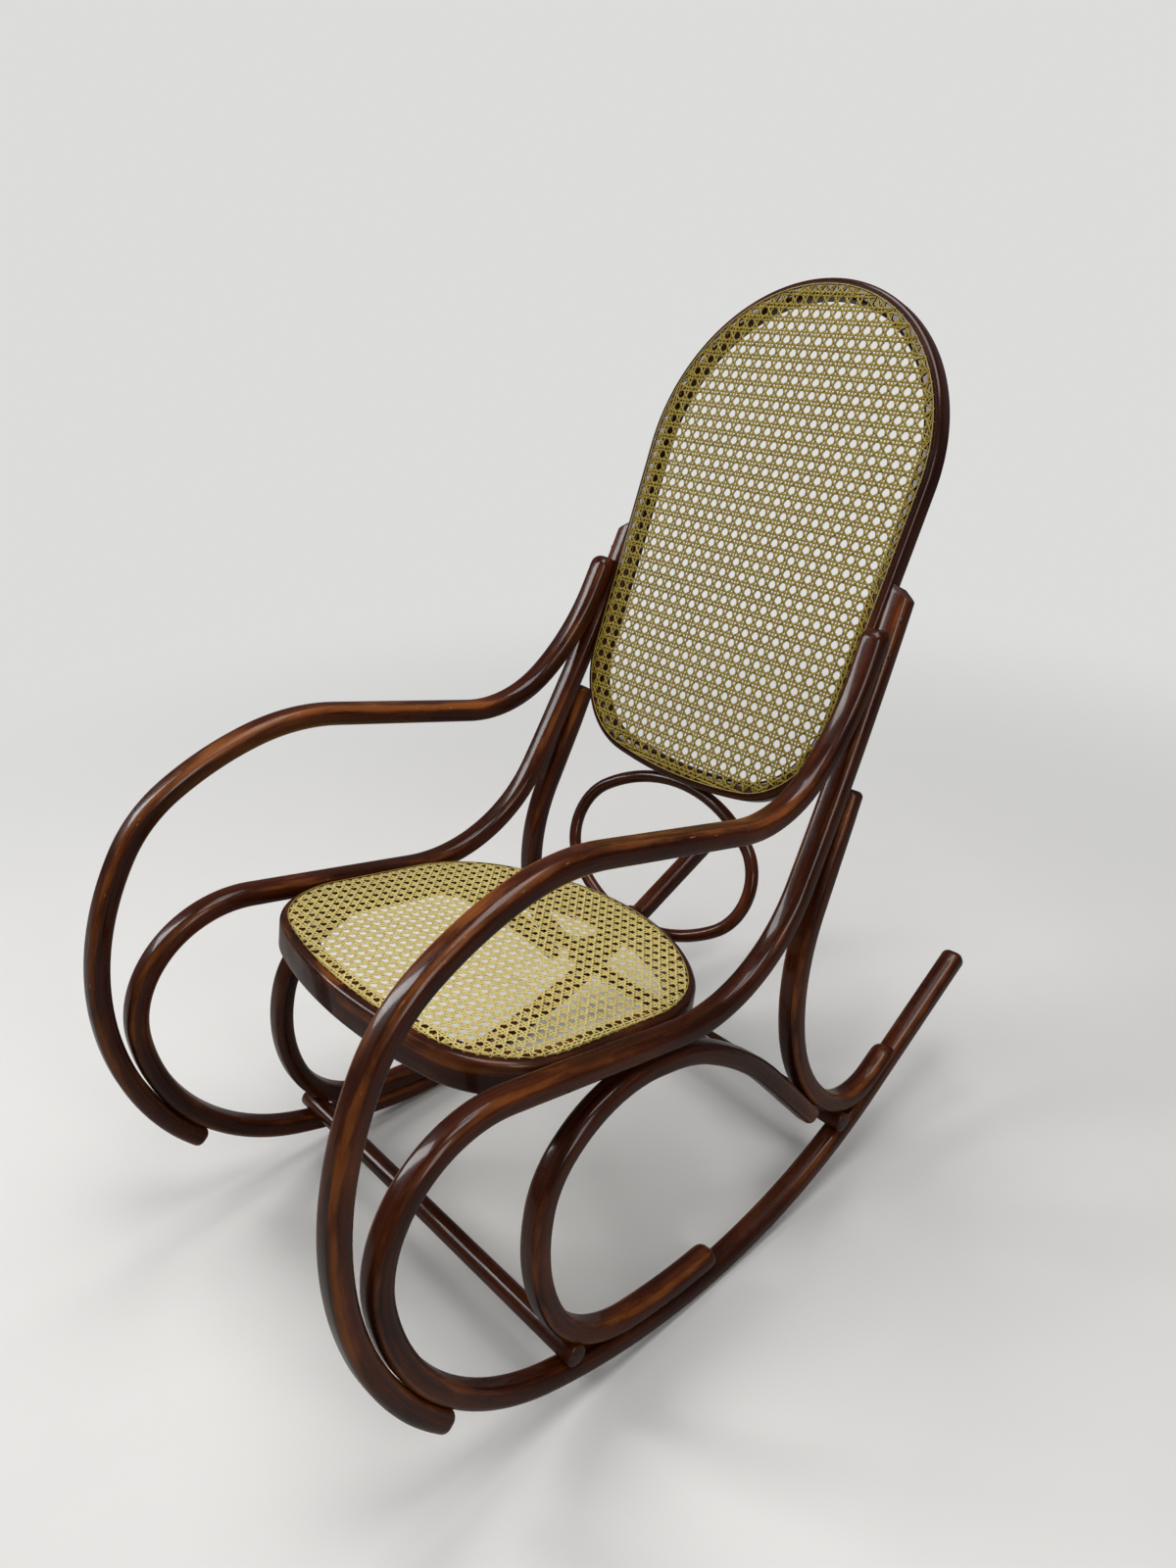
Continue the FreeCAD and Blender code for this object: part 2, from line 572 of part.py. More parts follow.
def binder_strip(name, start, bends, placement):
    pose, moved = inset(start, bends, size("cane_margin") + size("binder_width") / 2 + 0.5)
    body = doc.addObject("PartDesign::Body", name)
    spine = spine_sketch(body, name + "_spine", pose, moved, {})
    flat = body.newObject("Sketcher::SketchObject", name + "_section")
    flat.AttachmentSupport = [(origin_plane(body, "XY_Plane"), "")]
    flat.MapMode = "FlatFace"
    flat.AttachmentOffset = Placement(Vector(0, pose[0], pose[1]), Rotation(Vector(1, 0, 0), pose[2] - 90))
    thick, half = size("binder_thickness"), size("binder_width") / 2
    corners = [Vector(0, -half, 0), Vector(thick, -half, 0), Vector(thick, half, 0), Vector(0, half, 0)]
    for k in range(4):
        flat.addGeometry(Part.LineSegment(corners[k], corners[(k + 1) % 4]), False)
    for k in range(4):
        flat.addConstraint(Sketcher.Constraint("Coincident", k, 2, (k + 1) % 4, 1))
    for k in (0, 2):
        flat.addConstraint(Sketcher.Constraint("Horizontal", k))
        flat.addConstraint(Sketcher.Constraint("Vertical", k + 1))
    flat.addConstraint(Sketcher.Constraint("DistanceX", -1, 1, 0, 1, 0.0))
    flat.addConstraint(Sketcher.Constraint("DistanceY", 0, 1, -1, 1, half))
    place = flat.addConstraint(Sketcher.Constraint("DistanceX", 0, 1, 0, 2, thick))
    flat.setExpression(f"Constraints[{place}]", "Sizes.binder_thickness")
    place = flat.addConstraint(Sketcher.Constraint("DistanceY", 1, 1, 1, 2, 2 * half))
    flat.setExpression(f"Constraints[{place}]", "Sizes.binder_width")
    doc.recompute()
    pipe = body.newObject("PartDesign::AdditivePipe", name + "_sweep")
    pipe.Profile = flat
    pipe.Spine = (spine, [f"Edge{k + 1}" for k in range(len(moved))])
    pipe.Mode = "Binormal"
    pipe.Binormal = Vector(1, 0, 0)
    spine.Visibility = False
    flat.Visibility = False
    doc.recompute()
    mirror_half(body, pipe, name + "_whole")
    put(body, placement)
    return body


def raised(placement, height):
    return placement * Placement(Vector(height, 0, 0), Rotation())


seat_cane, seat_gaps = cane_sheet("seat_cane", seat_start, seat_bends, SEAT)
seat_binder = binder_strip("seat_binder", seat_start, seat_bends, raised(SEAT, size("cane_thickness")))
back_top = size("back_depth") / 2
back_cane, back_gaps = cane_sheet("back_cane", back_start, back_bends, raised(BACK, back_top))
back_face = back_top + size("cane_thickness")
back_binder = binder_strip("back_binder", back_start, back_bends, raised(BACK, back_face))


# Tools that plane and notch the rods where another piece lies against them

def plane_tool(name, frame, pose, length, start=0.0):
    """A block on the left of a line in a frame's plane; the line is the face that stays."""
    block = doc.addObject("Part::Box", name)
    block.Length, block.Width, block.Height = 120, 60, length
    at = line_from(pose, start)
    turn = Placement(Vector(0, at[0], at[1]), Rotation(Vector(1, 0, 0), at[2] - 90))
    put(block, frame * turn * Placement(Vector(-60, -60, 0), Rotation()))
    return block


def axle_tool(name, frame, centre, radius):
    drum = doc.addObject("Part::Cylinder", name)
    drum.Radius, drum.Height = radius, 80
    put(drum, frame * Placement(Vector(-40, centre[0], centre[1]), Rotation(Vector(0, 1, 0), 90)))
    return drum


flat_gap = 0.1
outer_side = beside(back_side, -flat_gap)
upright_plane = plane_tool("upright_plane", BACK, outer_side, 320, 40)
leg_back = axle_tool("leg_top_plane", SIDE, upright_centre, size("upright_radius") + bow_half + gap)
sole = beside(line_from(tail, 150), -bow_half - flat_gap)
sole = (sole[0], sole[1], sole[2] - size("leg_sole_angle"))
leg_sole = plane_tool("leg_foot_plane", SIDE, sole, 320, -190)
end_pose = loop_poses[-1]
taper = math.degrees(math.atan((size("rod_depth") - size("loop_end_depth")) / size("loop_taper_length")))
taper_line = beside(end_pose, size("loop_end_depth") - rod_half)
taper_line = (taper_line[0], taper_line[1], end_pose[2] - taper)
leg_end = leg_poses[-1]
leg_taper = math.degrees(math.atan((size("rod_depth") - size("leg_end_depth")) / size("leg_taper_length")))
leg_line = turned(beside(leg_end, rod_half - size("leg_end_depth")))
leg_line = (leg_line[0], leg_line[1], leg_line[2] + leg_taper)


# Screws: a shank with a countersunk head, and the hole for it

groups = {}
holes = {}


def screw(group, number, point, direction, length):
    """A screw with eight flats whose head lies at a point; returns the tool that drills its hole."""
    turn = Rotation(Vector(0, 0, 1), direction)
    pieces = {}
    for kind, fit in (("screw", 0.0), ("hole", size("screw_fit"))):
        label = f"{group}_{kind}_{number}"
        mouth = 3.0 if fit else 0.0
        shank = doc.addObject("Part::Prism", label + "_shank")
        shank.Polygon, shank.Height = 8, length + fit
        shank.setExpression("Circumradius", f"Sizes.screw_diameter / 2 + {fit}")
        head = doc.addObject("Part::Prism", label + "_head")
        head.Polygon, head.Height = 8, size("screw_head_depth") + fit + mouth
        head.setExpression("Circumradius", f"Sizes.screw_head / 2 + {fit}")
        put(shank, Placement(point, turn))
        put(head, Placement(point - direction * mouth, turn))
        parts = [shank, head]
        whole = doc.addObject("Part::MultiFuse", label)
        whole.Shapes = parts
        whole.Refine = True
        pieces[kind] = whole
    groups.setdefault(group, []).append(pieces["screw"])
    return pieces["hole"]


def pair(group, members, local_point, local_direction, length, frame=SIDE):
    """The same screw on both sides; its holes are noted for the members it passes through."""
    for side in (1, -1):
        point = frame.multVec(local_point)
        direction = frame.Rotation.multVec(local_direction).normalize()
        point = Vector(point.x * side, point.y, point.z)
        direction = Vector(direction.x * side, direction.y, direction.z)
        number = len(groups.get(group, [])) + 1
        tool = screw(group, number, point, direction, length)
        for member, both in members:
            if side == 1 or both:
                holes.setdefault(member, []).append(tool)


def in_plane(group, members, pose, offset, inward, length):
    """A screw in the plane of the side frame, from one side of a rod straight through."""
    place = beside(pose, offset)
    turn = math.radians(pose[2] + (90 if inward > 0 else -90))
    pair(group, members, Vector(0, place[0], place[1]), Vector(0, math.cos(turn), math.sin(turn)), length)


def crosswise(group, members, pose, offset, length):
    """A screw from the outer face of the side frame towards the middle of the chair."""
    place = beside(pose, offset)
    pair(group, members, Vector(size("bow_width") / 2 - sink, place[0], place[1]), Vector(-1, 0, 0), length)


sink = size("screw_sink")
face, bow_face = rod_half - sink, bow_half - sink
part_way = arc_from(arm_poses[-2], top_radius, arm_bends[-1][2] * 0.5)
in_plane("arm_top_screws", [("arm", 0), ("bow", 0)], part_way, face, -1, 40)
part_way = arc_from(arm_foot, foot_radius, -size("arm_foot_angle") * 0.45)
in_plane("arm_foot_screws", [("arm", 0), ("bow", 0)], part_way, face, -1, 40)
part_way = arc_from(loop_foot, runner - touch, -size("loop_foot_sweep") * 0.3)
in_plane("loop_foot_screws", [("loop", 0), ("bow", 0)], part_way, -face, 1, 38)
part_way = line_from(leg_foot, 22)
in_plane("leg_foot_screws", [("leg", 0), ("bow", 0)], part_way, -face, 1, 30)
part_way = line_from(crown, size("loop_rail_length") / 2)
in_plane("loop_top_screws", [("loop", 0), ("bow", 0)], part_way, -face, 1, 40)
part_way = line_from(leg_poses[-1], -46)
leg_face = size("leg_end_depth") - rod_half + 46 * math.tan(math.radians(leg_taper)) - sink
in_plane("rear_leg_top_screws", [("leg", 0), ("bow", 0)], part_way, -leg_face, 1, 32)
in_plane("front_stretcher_bolts", [("bow", 0), ("front_bar", 1), ("loop", 0)],
         on_runner(-size("front_stretcher_angle"), 0), bow_face, -1, 62)
in_plane("rear_stretcher_bolts", [("bow", 0), ("rear_bar", 1), ("leg", 0)],
         on_runner(size("rear_stretcher_angle"), 0), bow_face, -1, 62)
for from_top in (22, 62):
    turn = -math.degrees(from_top / size("upright_radius"))
    part_way = arc_from(turned(upright_end), size("upright_radius"), turn)
    crosswise("back_frame_bolts", [("bow", 0), ("back", 1)], turned(part_way), 4.5, 42)
for along in (62, 158):
    crosswise("seat_rail_screws", [("bow", 0), ("seat", 1)], line_from(bow_poses[4], along), -4, 44)


def alone(group, members, point, direction, length):
    tool = screw(group, len(groups.get(group, [])) + 1, point, direction.normalize(), length)
    for member in members:
        holes.setdefault(member, []).append(tool)


round_face = size("oval_diameter") / 2 - sink
upward = BACK.Rotation.multVec(Vector(1, 0, 1).normalize())
alone("back_loop_screws", ["oval", "back"], oval_top - upward * round_face, upward, 28)
oval_low = OVAL.multVec(Vector(0, 0, -2 * half_height))
alone("back_loop_screws", ["oval", "seat"], oval_low + wall_normal * round_face, wall_normal * -1, 28)


# Nodes

def cut(name, base, tools):
    tool = tools[0]
    if len(tools) > 1:
        tool = doc.addObject("Part::Compound", name + "_tools")
        tool.Links = tools
    result = doc.addObject("Part::Cut", name)
    result.Base = base
    result.Tool = tool
    result.Label = name
    return result


def mirrored(name, source):
    result = doc.addObject("Part::Mirroring", name)
    result.Source = source
    result.Base = Vector(0, 0, 0)
    result.Normal = Vector(1, 0, 0)
    result.Label = name
    return result


loop_taper = plane_tool("loop_end_plane", SIDE, taper_line, 200, -140)
leg_tip = plane_tool("leg_tip_plane", SIDE, leg_line, 200, -40)
nodes = {}
leg_planed = cut("leg_planed", leg, [leg_back, leg_sole])
lefts = {
    "side_bow": cut("side_bow_left", bow, [upright_plane] + holes["bow"]),
    "arm": cut("arm_left", arm, [upright_plane] + holes["arm"]),
    "front_leg_loop": cut("front_leg_loop_left", cut("loop_planed", loop, [loop_taper]),
                          [front_saddle] + holes["loop"]),
    "rear_leg": cut("rear_leg_left", cut("leg_tapered", leg_planed, [leg_tip]), [rear_saddle] + holes["leg"]),
}
for name, left in lefts.items():
    nodes[name + "_left"] = left
    nodes[name + "_right"] = mirrored(name + "_right", left)
nodes["front_stretcher"] = cut("front_stretcher", front_bar, holes["front_bar"])
nodes["rear_stretcher"] = cut("rear_stretcher", rear_bar, holes["rear_bar"])
nodes["seat_frame"] = cut("seat_frame", seat, holes["seat"])
nodes["back_frame"] = cut("back_frame", back, holes["back"])
nodes["back_loop"] = cut("back_loop_drilled", oval, holes["oval"])
nodes["seat_cane"] = seat_cane
nodes["seat_binder"] = seat_binder
nodes["back_cane"] = back_cane
nodes["back_binder"] = back_binder
for group, members in groups.items():
    nodes[group] = doc.addObject("Part::Compound", group)
    nodes[group].Links = members
for name, item in nodes.items():
    item.Label = name
doc.recompute()


# Rest: the chair rolls on its runners until its weight hangs below the centre of their curve

DENSITY = {"wood": 0.00071, "cane": 0.00040, "steel": 0.00785}


def density(name):
    if "cane" in name or "binder" in name:
        return DENSITY["cane"]
    if name in groups:
        return DENSITY["steel"]
    return DENSITY["wood"]


def centre_of_mass():
    total, moment = 0.0, Vector()
    for name, item in nodes.items():
        for solid in item.Shape.Solids:
            weight = solid.Volume * density(name)
            total += weight
            moment += solid.CenterOfMass * weight
    return moment / total, total


heavy, mass = centre_of_mass()
hang = math.degrees(math.atan2(heavy.y - pivot[0], pivot[1] - heavy.z))
roll = Placement(Vector(), Rotation(Vector(1, 0, 0), -hang))
points = []
for name in ("side_bow_left", "arm_left", "back_frame"):
    points += [roll.multVec(point) for point in nodes[name].Shape.tessellate(0.1)[0]]
floor = min(point.z for point in points)
middle = (min(point.y for point in points) + max(point.y for point in points)) / 2
REST = Placement(Vector(0, -middle, -floor), Rotation()) * roll
for item, placement in leaves:
    item.Placement = REST * placement
doc.recompute()
heavy, mass = centre_of_mass()
print("rolled by", round(-hang, 3), "degrees; moved", round(-middle, 3), round(-floor, 3))
print("centre of mass", [round(v, 2) for v in heavy], "grams", round(mass, 1))


# Check and write

os.makedirs("parts", exist_ok=True)
for item in doc.Objects:
    if "Invalid" in item.State or "Error" in item.State:
        raise RuntimeError(f"{item.Name} is {item.State}")
for name, item in nodes.items():
    shape = item.Shape
    if shape.isNull() or not shape.isValid() or not shape.Solids:
        raise RuntimeError(f"{name} has no valid solid")
    shape.exportStep(f"parts/{name}.step")
print("wrote", len(nodes), "nodes")
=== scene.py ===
# %% [markdown]
# A bentwood rocking chair. Every wooden member is a straight beech stick that was steamed and bent on
# an iron form, so each one is drawn here as the bender thinks of it: a start, then straight runs and
# arcs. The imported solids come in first. They give the true places, and the finished rods, rings and
# woven cane below stand in for them.

# %% Load the solids and note their box
import math
import random

import bmesh
import bpy
from mathutils import Matrix, Vector
from mathutils.kdtree import KDTree


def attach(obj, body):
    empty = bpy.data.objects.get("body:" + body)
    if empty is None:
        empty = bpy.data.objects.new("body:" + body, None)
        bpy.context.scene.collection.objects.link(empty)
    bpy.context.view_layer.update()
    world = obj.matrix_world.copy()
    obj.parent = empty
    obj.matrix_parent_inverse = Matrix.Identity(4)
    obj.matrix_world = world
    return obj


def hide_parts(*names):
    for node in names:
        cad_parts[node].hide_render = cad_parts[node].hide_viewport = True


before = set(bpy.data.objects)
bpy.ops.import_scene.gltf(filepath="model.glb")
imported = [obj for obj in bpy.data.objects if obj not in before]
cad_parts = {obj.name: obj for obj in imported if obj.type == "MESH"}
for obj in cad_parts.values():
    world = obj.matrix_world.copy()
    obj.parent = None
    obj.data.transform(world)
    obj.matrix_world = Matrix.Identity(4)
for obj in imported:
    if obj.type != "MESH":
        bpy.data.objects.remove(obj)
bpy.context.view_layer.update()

# %% [markdown]
# The chair was measured with its runners' lowest point at the middle of their curve. At rest it rolls
# back two degrees until its weight hangs below that curve's centre. REST holds this roll. The side
# frames lean inward and toe in a little, so each has a plane of its own, and so have the seat, the
# back and the oval. In each plane X is the normal, Y and Z draw the outline, all in millimetres.

# %% Frames of the chair's planes
METRES = 0.001
MM = Matrix.Scale(METRES, 4)
ROLL, ROLL_SHIFT = -2.035, (0, -39.622, -1.76)
HALF_WIDTH, LEAN_IN, TOE_IN = 246.9, -2.23, 1.74


def turn(axis, degrees):
    return Matrix.Rotation(math.radians(degrees), 4, axis)


def plane_along(reach, height, lean):
    """A plane across the chair: Y runs across, Z climbs at a lean from upright, X faces forward."""
    along = Vector((0, math.sin(math.radians(lean)), math.cos(math.radians(lean))))
    across = Vector((1, 0, 0))
    normal = across.cross(along)
    columns = Matrix((normal, across, along)).transposed().to_4x4()
    return Matrix.Translation((0, reach, height)) @ columns


REST = Matrix.Translation(ROLL_SHIFT) @ turn("X", ROLL)
SIDE = Matrix.Translation((HALF_WIDTH, 0, 0)) @ turn("Y", LEAN_IN) @ turn("Z", TOE_IN)
SEAT = plane_along(reach=-281.0, height=414.6, lean=100.2)
BACK = plane_along(reach=199.0, height=484.0, lean=24.5)
OVAL = plane_along(reach=210.80, height=475.15, lean=28.785)


def place(bm, plane):
    """Moves a finished shape from its own plane, in millimetres, to its place in the chair, in metres."""
    bmesh.ops.transform(bm, matrix=MM @ REST @ plane, verts=bm.verts[:])


# %% [markdown]
# A bent rod starts as its cross-section. The real stick is a rectangle with well rounded corners, so
# the section is a circle whose four quarters are moved apart. Spin sweeps the open edge loop through
# each arc about the centre of that bend, and extrude pushes it along each straight run. This keeps
# the section square to the bend everywhere, as the wood itself does. A bend is written ("run", length)
# or ("arc", radius, degrees), and a pose is (reach, height, heading) in the rod's plane.

# %% Sweep a section along runs and arcs
def forward(heading):
    return Vector((0, math.cos(math.radians(heading)), math.sin(math.radians(heading))))


def step_on(pose, bend):
    """The pose after a run or an arc. A positive arc turns left."""
    reach, height, heading = pose
    here = Vector((0, reach, height))
    if bend[0] == "run":
        here = here + forward(heading) * bend[1]
        return (here.y, here.z, heading)
    radius, sweep = bend[1], bend[2]
    side = 1 if sweep > 0 else -1
    centre = here + forward(heading + 90 * side) * radius
    here = centre - forward(heading + sweep + 90 * side) * radius
    return (here.y, here.z, heading + sweep)


def points_in(geometry):
    return [item for item in geometry if isinstance(item, bmesh.types.BMVert)]


def edges_in(geometry):
    return [item for item in geometry if isinstance(item, bmesh.types.BMEdge)]


def section_edges(bm, pose, wide, deep, corner, sides):
    """The open loop of a stick's cross-section, square to the pose it starts from."""
    loop = bmesh.ops.create_circle(bm, segments=sides, radius=corner, cap_ends=False)["verts"]
    bmesh.ops.rotate(bm, verts=loop, cent=(0, 0, 0), matrix=Matrix.Rotation(math.pi / sides, 3, "Z"))
    for sign_x in (1, -1):
        for sign_y in (1, -1):
            quarter = [v for v in loop if v.co.x * sign_x > 0 and v.co.y * sign_y > 0]
            shift = (sign_x * (wide / 2 - corner), sign_y * (deep / 2 - corner), 0)
            bmesh.ops.translate(bm, verts=quarter, vec=shift)
    at = Matrix.Translation((0, pose[0], pose[1])) @ turn("X", pose[2] - 90)
    bmesh.ops.transform(bm, matrix=at, verts=loop)
    return list({e for v in loop for e in v.link_edges})


def sweep_section(bm, edges, pose, bends, pace):
    """Carries the open loop along all bends and returns the last loop and pose."""
    for bend in bends:
        if bend[0] == "run":
            count = max(1, round(bend[1] / (pace * 2)))
            for _ in range(count):
                made = bmesh.ops.extrude_edge_only(bm, edges=edges)["geom"]
                bmesh.ops.translate(bm, verts=points_in(made), vec=forward(pose[2]) * (bend[1] / count))
                edges = edges_in(made)
        else:
            radius, sweep = bend[1], bend[2]
            side = 1 if sweep > 0 else -1
            centre = Vector((0, pose[0], pose[1])) + forward(pose[2] + 90 * side) * radius
            steps = max(2, round(radius * math.radians(abs(sweep)) / pace))
            made = bmesh.ops.spin(bm, geom=edges, cent=centre, axis=(1, 0, 0), dvec=(0, 0, 0),
                                  angle=math.radians(sweep), steps=steps, use_duplicate=False)
            edges = edges_in(made["geom_last"])
        pose = step_on(pose, bend)
    return edges, pose


# %% [markdown]
# Wood grain runs along the stick, even round a bend. So each point of a rod also keeps its place on
# the straight stick: the distance along it, and the two distances across. The finish reads this as the
# attribute "stick". A second attribute, "rub", says how much hands and shoes have worn that place.

# %% Keep each point's place on the straight stick
ROD_WIDE, ROD_DEEP = 28.5, 24.0  # a rod's section, across the chair and in the plane of its bends


def centre_line(pose, bends, pace=3.0):
    """Close points on the centre line: (distance along, point, heading)."""
    points, along = [], 0.0
    for bend in bends:
        length = bend[1] if bend[0] == "run" else bend[1] * math.radians(abs(bend[2]))
        count = max(1, math.ceil(length / pace))
        for k in range(count):
            part = k / count
            so_far = ("run", bend[1] * part) if bend[0] == "run" else ("arc", bend[1], bend[2] * part)
            at = step_on(pose, so_far)
            points.append((along + length * part, Vector((0, at[0], at[1])), at[2]))
        along += length
        pose = step_on(pose, bend)
    points.append((along, Vector((0, pose[0], pose[1])), pose[2]))
    return points


def nearest_on(line):
    """A search tree that finds the centre line's point nearest to a place."""
    tree = KDTree(len(line))
    for k, (_, point, _) in enumerate(line):
        tree.insert(point, k)
    tree.balance()
    return tree


def lay_grain(bm, line, rubbed):
    """Writes both attributes. rubbed gives the wear for a share of the length and a share outward."""
    stick = bm.verts.layers.float_vector.new("stick")
    rub = bm.verts.layers.float.new("rub")
    tree = nearest_on(line)
    whole = line[-1][0]
    for v in bm.verts:
        _, k, _ = tree.find(Vector((0, v.co.y, v.co.z)))
        along, point, heading = line[k]
        off = v.co - point
        along += off.dot(forward(heading))
        left = off.dot(forward(heading + 90))
        v[stick] = Vector((along, left, v.co.x)) * METRES
        v[rub] = rubbed(along / whole, -left / (ROD_DEEP / 2))


# %% [markdown]
# The ends of real sticks are sawn and then rounded with a rasp, and faces that meet another stick are
# planed. An end is closed and its rim bevelled, or its loop is pushed out and shrunk along a quarter
# circle, which gives the fuller, pillow-like end of an arm. A plane is a press: points beyond it move
# back onto it. A Boolean would cut as well, but it would spoil the even strips that the grain needs.

# %% Round the ends, plane the faces and make a piece
PILLOW_STEPS = 6


def cap_ends(bm, ends, rounding, segments=5):
    """Closes each open end and rounds its rim."""
    for edges in ends:
        bmesh.ops.contextual_create(bm, geom=edges)
        bmesh.ops.bevel(bm, geom=edges, offset=rounding, offset_type="OFFSET", segments=segments,
                        profile=0.5, affect="EDGES", material=-1, clamp_overlap=True)


def pillow_end(bm, edges, pose, ahead_sign, radius, top, top_radius, half):
    """Rounds an open end over: the loop is pushed out and shrunk in steps along a quarter circle.

    top is +1 or -1 where the side to the left or right of the rod's heading is rounded more and the
    other side, which lies on another rod, stays straight. It is 0 where all sides are rounded alike.
    """
    ahead, left = forward(pose[2]) * ahead_sign, forward(pose[2] + 90)
    centre = Vector((0, pose[0], pose[1])) - left * top * half[1]
    across = Vector((1, 0, 0))
    at = Matrix.Translation(centre) @ Matrix((across, left, across.cross(left))).transposed().to_4x4()
    tall = half[1] * (2 if top else 1)
    drop_radius = top_radius if top else radius
    before = (0.0, 0.0, 0.0)
    for k in range(1, PILLOW_STEPS + 1):
        angle = math.pi / 2 * k / PILLOW_STEPS
        now = (radius * (1 - math.cos(angle)), drop_radius * (1 - math.cos(angle)),
               max(radius, drop_radius) * math.sin(angle))
        shrink = Matrix.Diagonal(((half[0] - now[0]) / (half[0] - before[0]),
                                  (tall - now[1]) / (tall - before[1]), 1, 1))
        grown = bmesh.ops.extrude_edge_only(bm, edges=edges)["geom"]
        bmesh.ops.transform(bm, matrix=at @ shrink @ at.inverted(), verts=points_in(grown))
        bmesh.ops.translate(bm, verts=points_in(grown), vec=ahead * (now[2] - before[2]))
        edges = edges_in(grown)
        before = now
    bmesh.ops.contextual_create(bm, geom=edges)


def shorten(start, bends, from_start, from_end):
    """The same rod, shorter at each end."""
    def less(bend, length):
        if bend[0] == "run":
            return ("run", bend[1] - length)
        return ("arc", bend[1], bend[2] - math.copysign(math.degrees(length / bend[1]), bend[2]))
    if from_start:
        first = less(bends[0], from_start)
        part = ("run", from_start) if first[0] == "run" else ("arc", first[1], bends[0][2] - first[2])
        start, bends = step_on(start, part), [first] + bends[1:]
    if from_end:
        bends = bends[:-1] + [less(bends[-1], from_end)]
    return start, bends


def press(bm, point, outward, within):
    """Planes the wood flat: points beyond a plane move back onto it, in the stretch that within names."""
    for v in bm.verts:
        beyond = (v.co - point).dot(outward)
        if beyond > 0 and within(v.co):
            v.co -= outward * beyond


def new_piece(name, bm, finish, node, sharp=38, closed=True):
    """Makes a shape a smooth object that stands in for one node of the solids."""
    if closed:
        bmesh.ops.recalc_face_normals(bm, faces=bm.faces[:])
    mesh = bpy.data.meshes.new(name)
    bm.to_mesh(mesh)
    bm.free()
    mesh.shade_smooth()
    mesh.set_sharp_from_angle(angle=math.radians(sharp))
    mesh.materials.append(finish)
    piece = bpy.data.objects.new(name, mesh)
    bpy.context.scene.collection.objects.link(piece)
    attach(piece, "root")
    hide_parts(node)
    return piece


def smooth_step(low, high, value):
    """0 up to low, 1 from high on, and a soft rise between."""
    t = min(1.0, max(0.0, (value - low) / (high - low)))
    return t * t * (3 - 2 * t)


def stretch(along, start, full, fading, end):
    """1 from full to fading, and 0 before start and after end, all as shares of a rod's length."""
    return smooth_step(start, full, along) * (1 - smooth_step(fading, end, along))


# %% [markdown]
# The finishes are built from nodes. A few helpers add a node, link its inputs and hand on its output,
# so that a finish reads like a recipe. Places are in metres, so a noise of scale 170 has about 170
# grains in a metre, and a scale of three numbers draws the grains out along the stick.

# %% Helpers for nodes
def add(tree, kind, links=(), **settings):
    """A node with its settings, whose inputs take links or values: (input, value or output socket)."""
    node = tree.nodes.new(kind)
    for key, value in settings.items():
        setattr(node, key, value)
    for key, value in links:
        if isinstance(value, bpy.types.NodeSocket):
            tree.links.new(value, node.inputs[key])
        else:
            node.inputs[key].default_value = value
    return node


def stretched(tree, vector, scale):
    return add(tree, "ShaderNodeVectorMath", [(0, vector), (1, scale)], operation="MULTIPLY").outputs[0]


def noise(tree, vector, scale, detail, roughness=0.5):
    if isinstance(scale, tuple):
        vector, scale = stretched(tree, vector, scale), 1.0
    return add(tree, "ShaderNodeTexNoise", [("Vector", vector), ("Scale", scale), ("Detail", detail),
                                            ("Roughness", roughness)]).outputs[0]


def between(tree, value, low, high, to_low=0.0, to_high=1.0):
    """A soft rise from to_low to to_high while the value goes from low to high."""
    return add(tree, "ShaderNodeMapRange", [("Value", value), ("From Min", low), ("From Max", high),
                                            ("To Min", to_low), ("To Max", to_high)],
               interpolation_type="SMOOTHSTEP").outputs[0]


def sums(tree, operation, first, second):
    return add(tree, "ShaderNodeMath", [(0, first), (1, second)], operation=operation).outputs[0]


def blend_colour(tree, factor, first, second):
    """Two colours, each (red, green, blue) or an output socket, mixed by the socket factor."""
    node = add(tree, "ShaderNodeMix", data_type="RGBA")
    for key, value in (("Factor", factor), ("A", first), ("B", second)):
        socket = [s for s in node.inputs if s.name == key and s.enabled][0]
        if isinstance(value, bpy.types.NodeSocket):
            tree.links.new(value, socket)
        else:
            socket.default_value = (*value, 1)
    return [s for s in node.outputs if s.enabled][0]


def carried(tree, name, output="Vector"):
    """What the mesh carries at each point under this name."""
    return add(tree, "ShaderNodeAttribute", attribute_name=name, attribute_type="GEOMETRY").outputs[output]


def object_place(tree):
    return add(tree, "ShaderNodeTexCoord").outputs["Object"]


def new_finish(name):
    material = bpy.data.materials.new(name)
    material.use_nodes = True
    tree = material.node_tree
    return material, tree, tree.nodes["Principled BSDF"]


def cover(tree, shader, colour, rough, height, bump_strength, bump_depth):
    """Links a colour, a roughness and the height of a bump into the shader."""
    bump = add(tree, "ShaderNodeBump", [("Height", height), ("Strength", bump_strength),
                                        ("Distance", bump_depth)])
    for key, output in (("Base Color", colour), ("Roughness", rough), ("Normal", bump.outputs[0])):
        tree.links.new(output, shader.inputs[key])


# %% [markdown]
# The wood is beech with a dark red-brown stain under clear varnish. Three effects are shared by the
# wooden pieces, so they are node groups: the straight grain with its short dark flecks, the rubbed
# places where the stain has gone orange, and the fine dents and dust in the varnish.

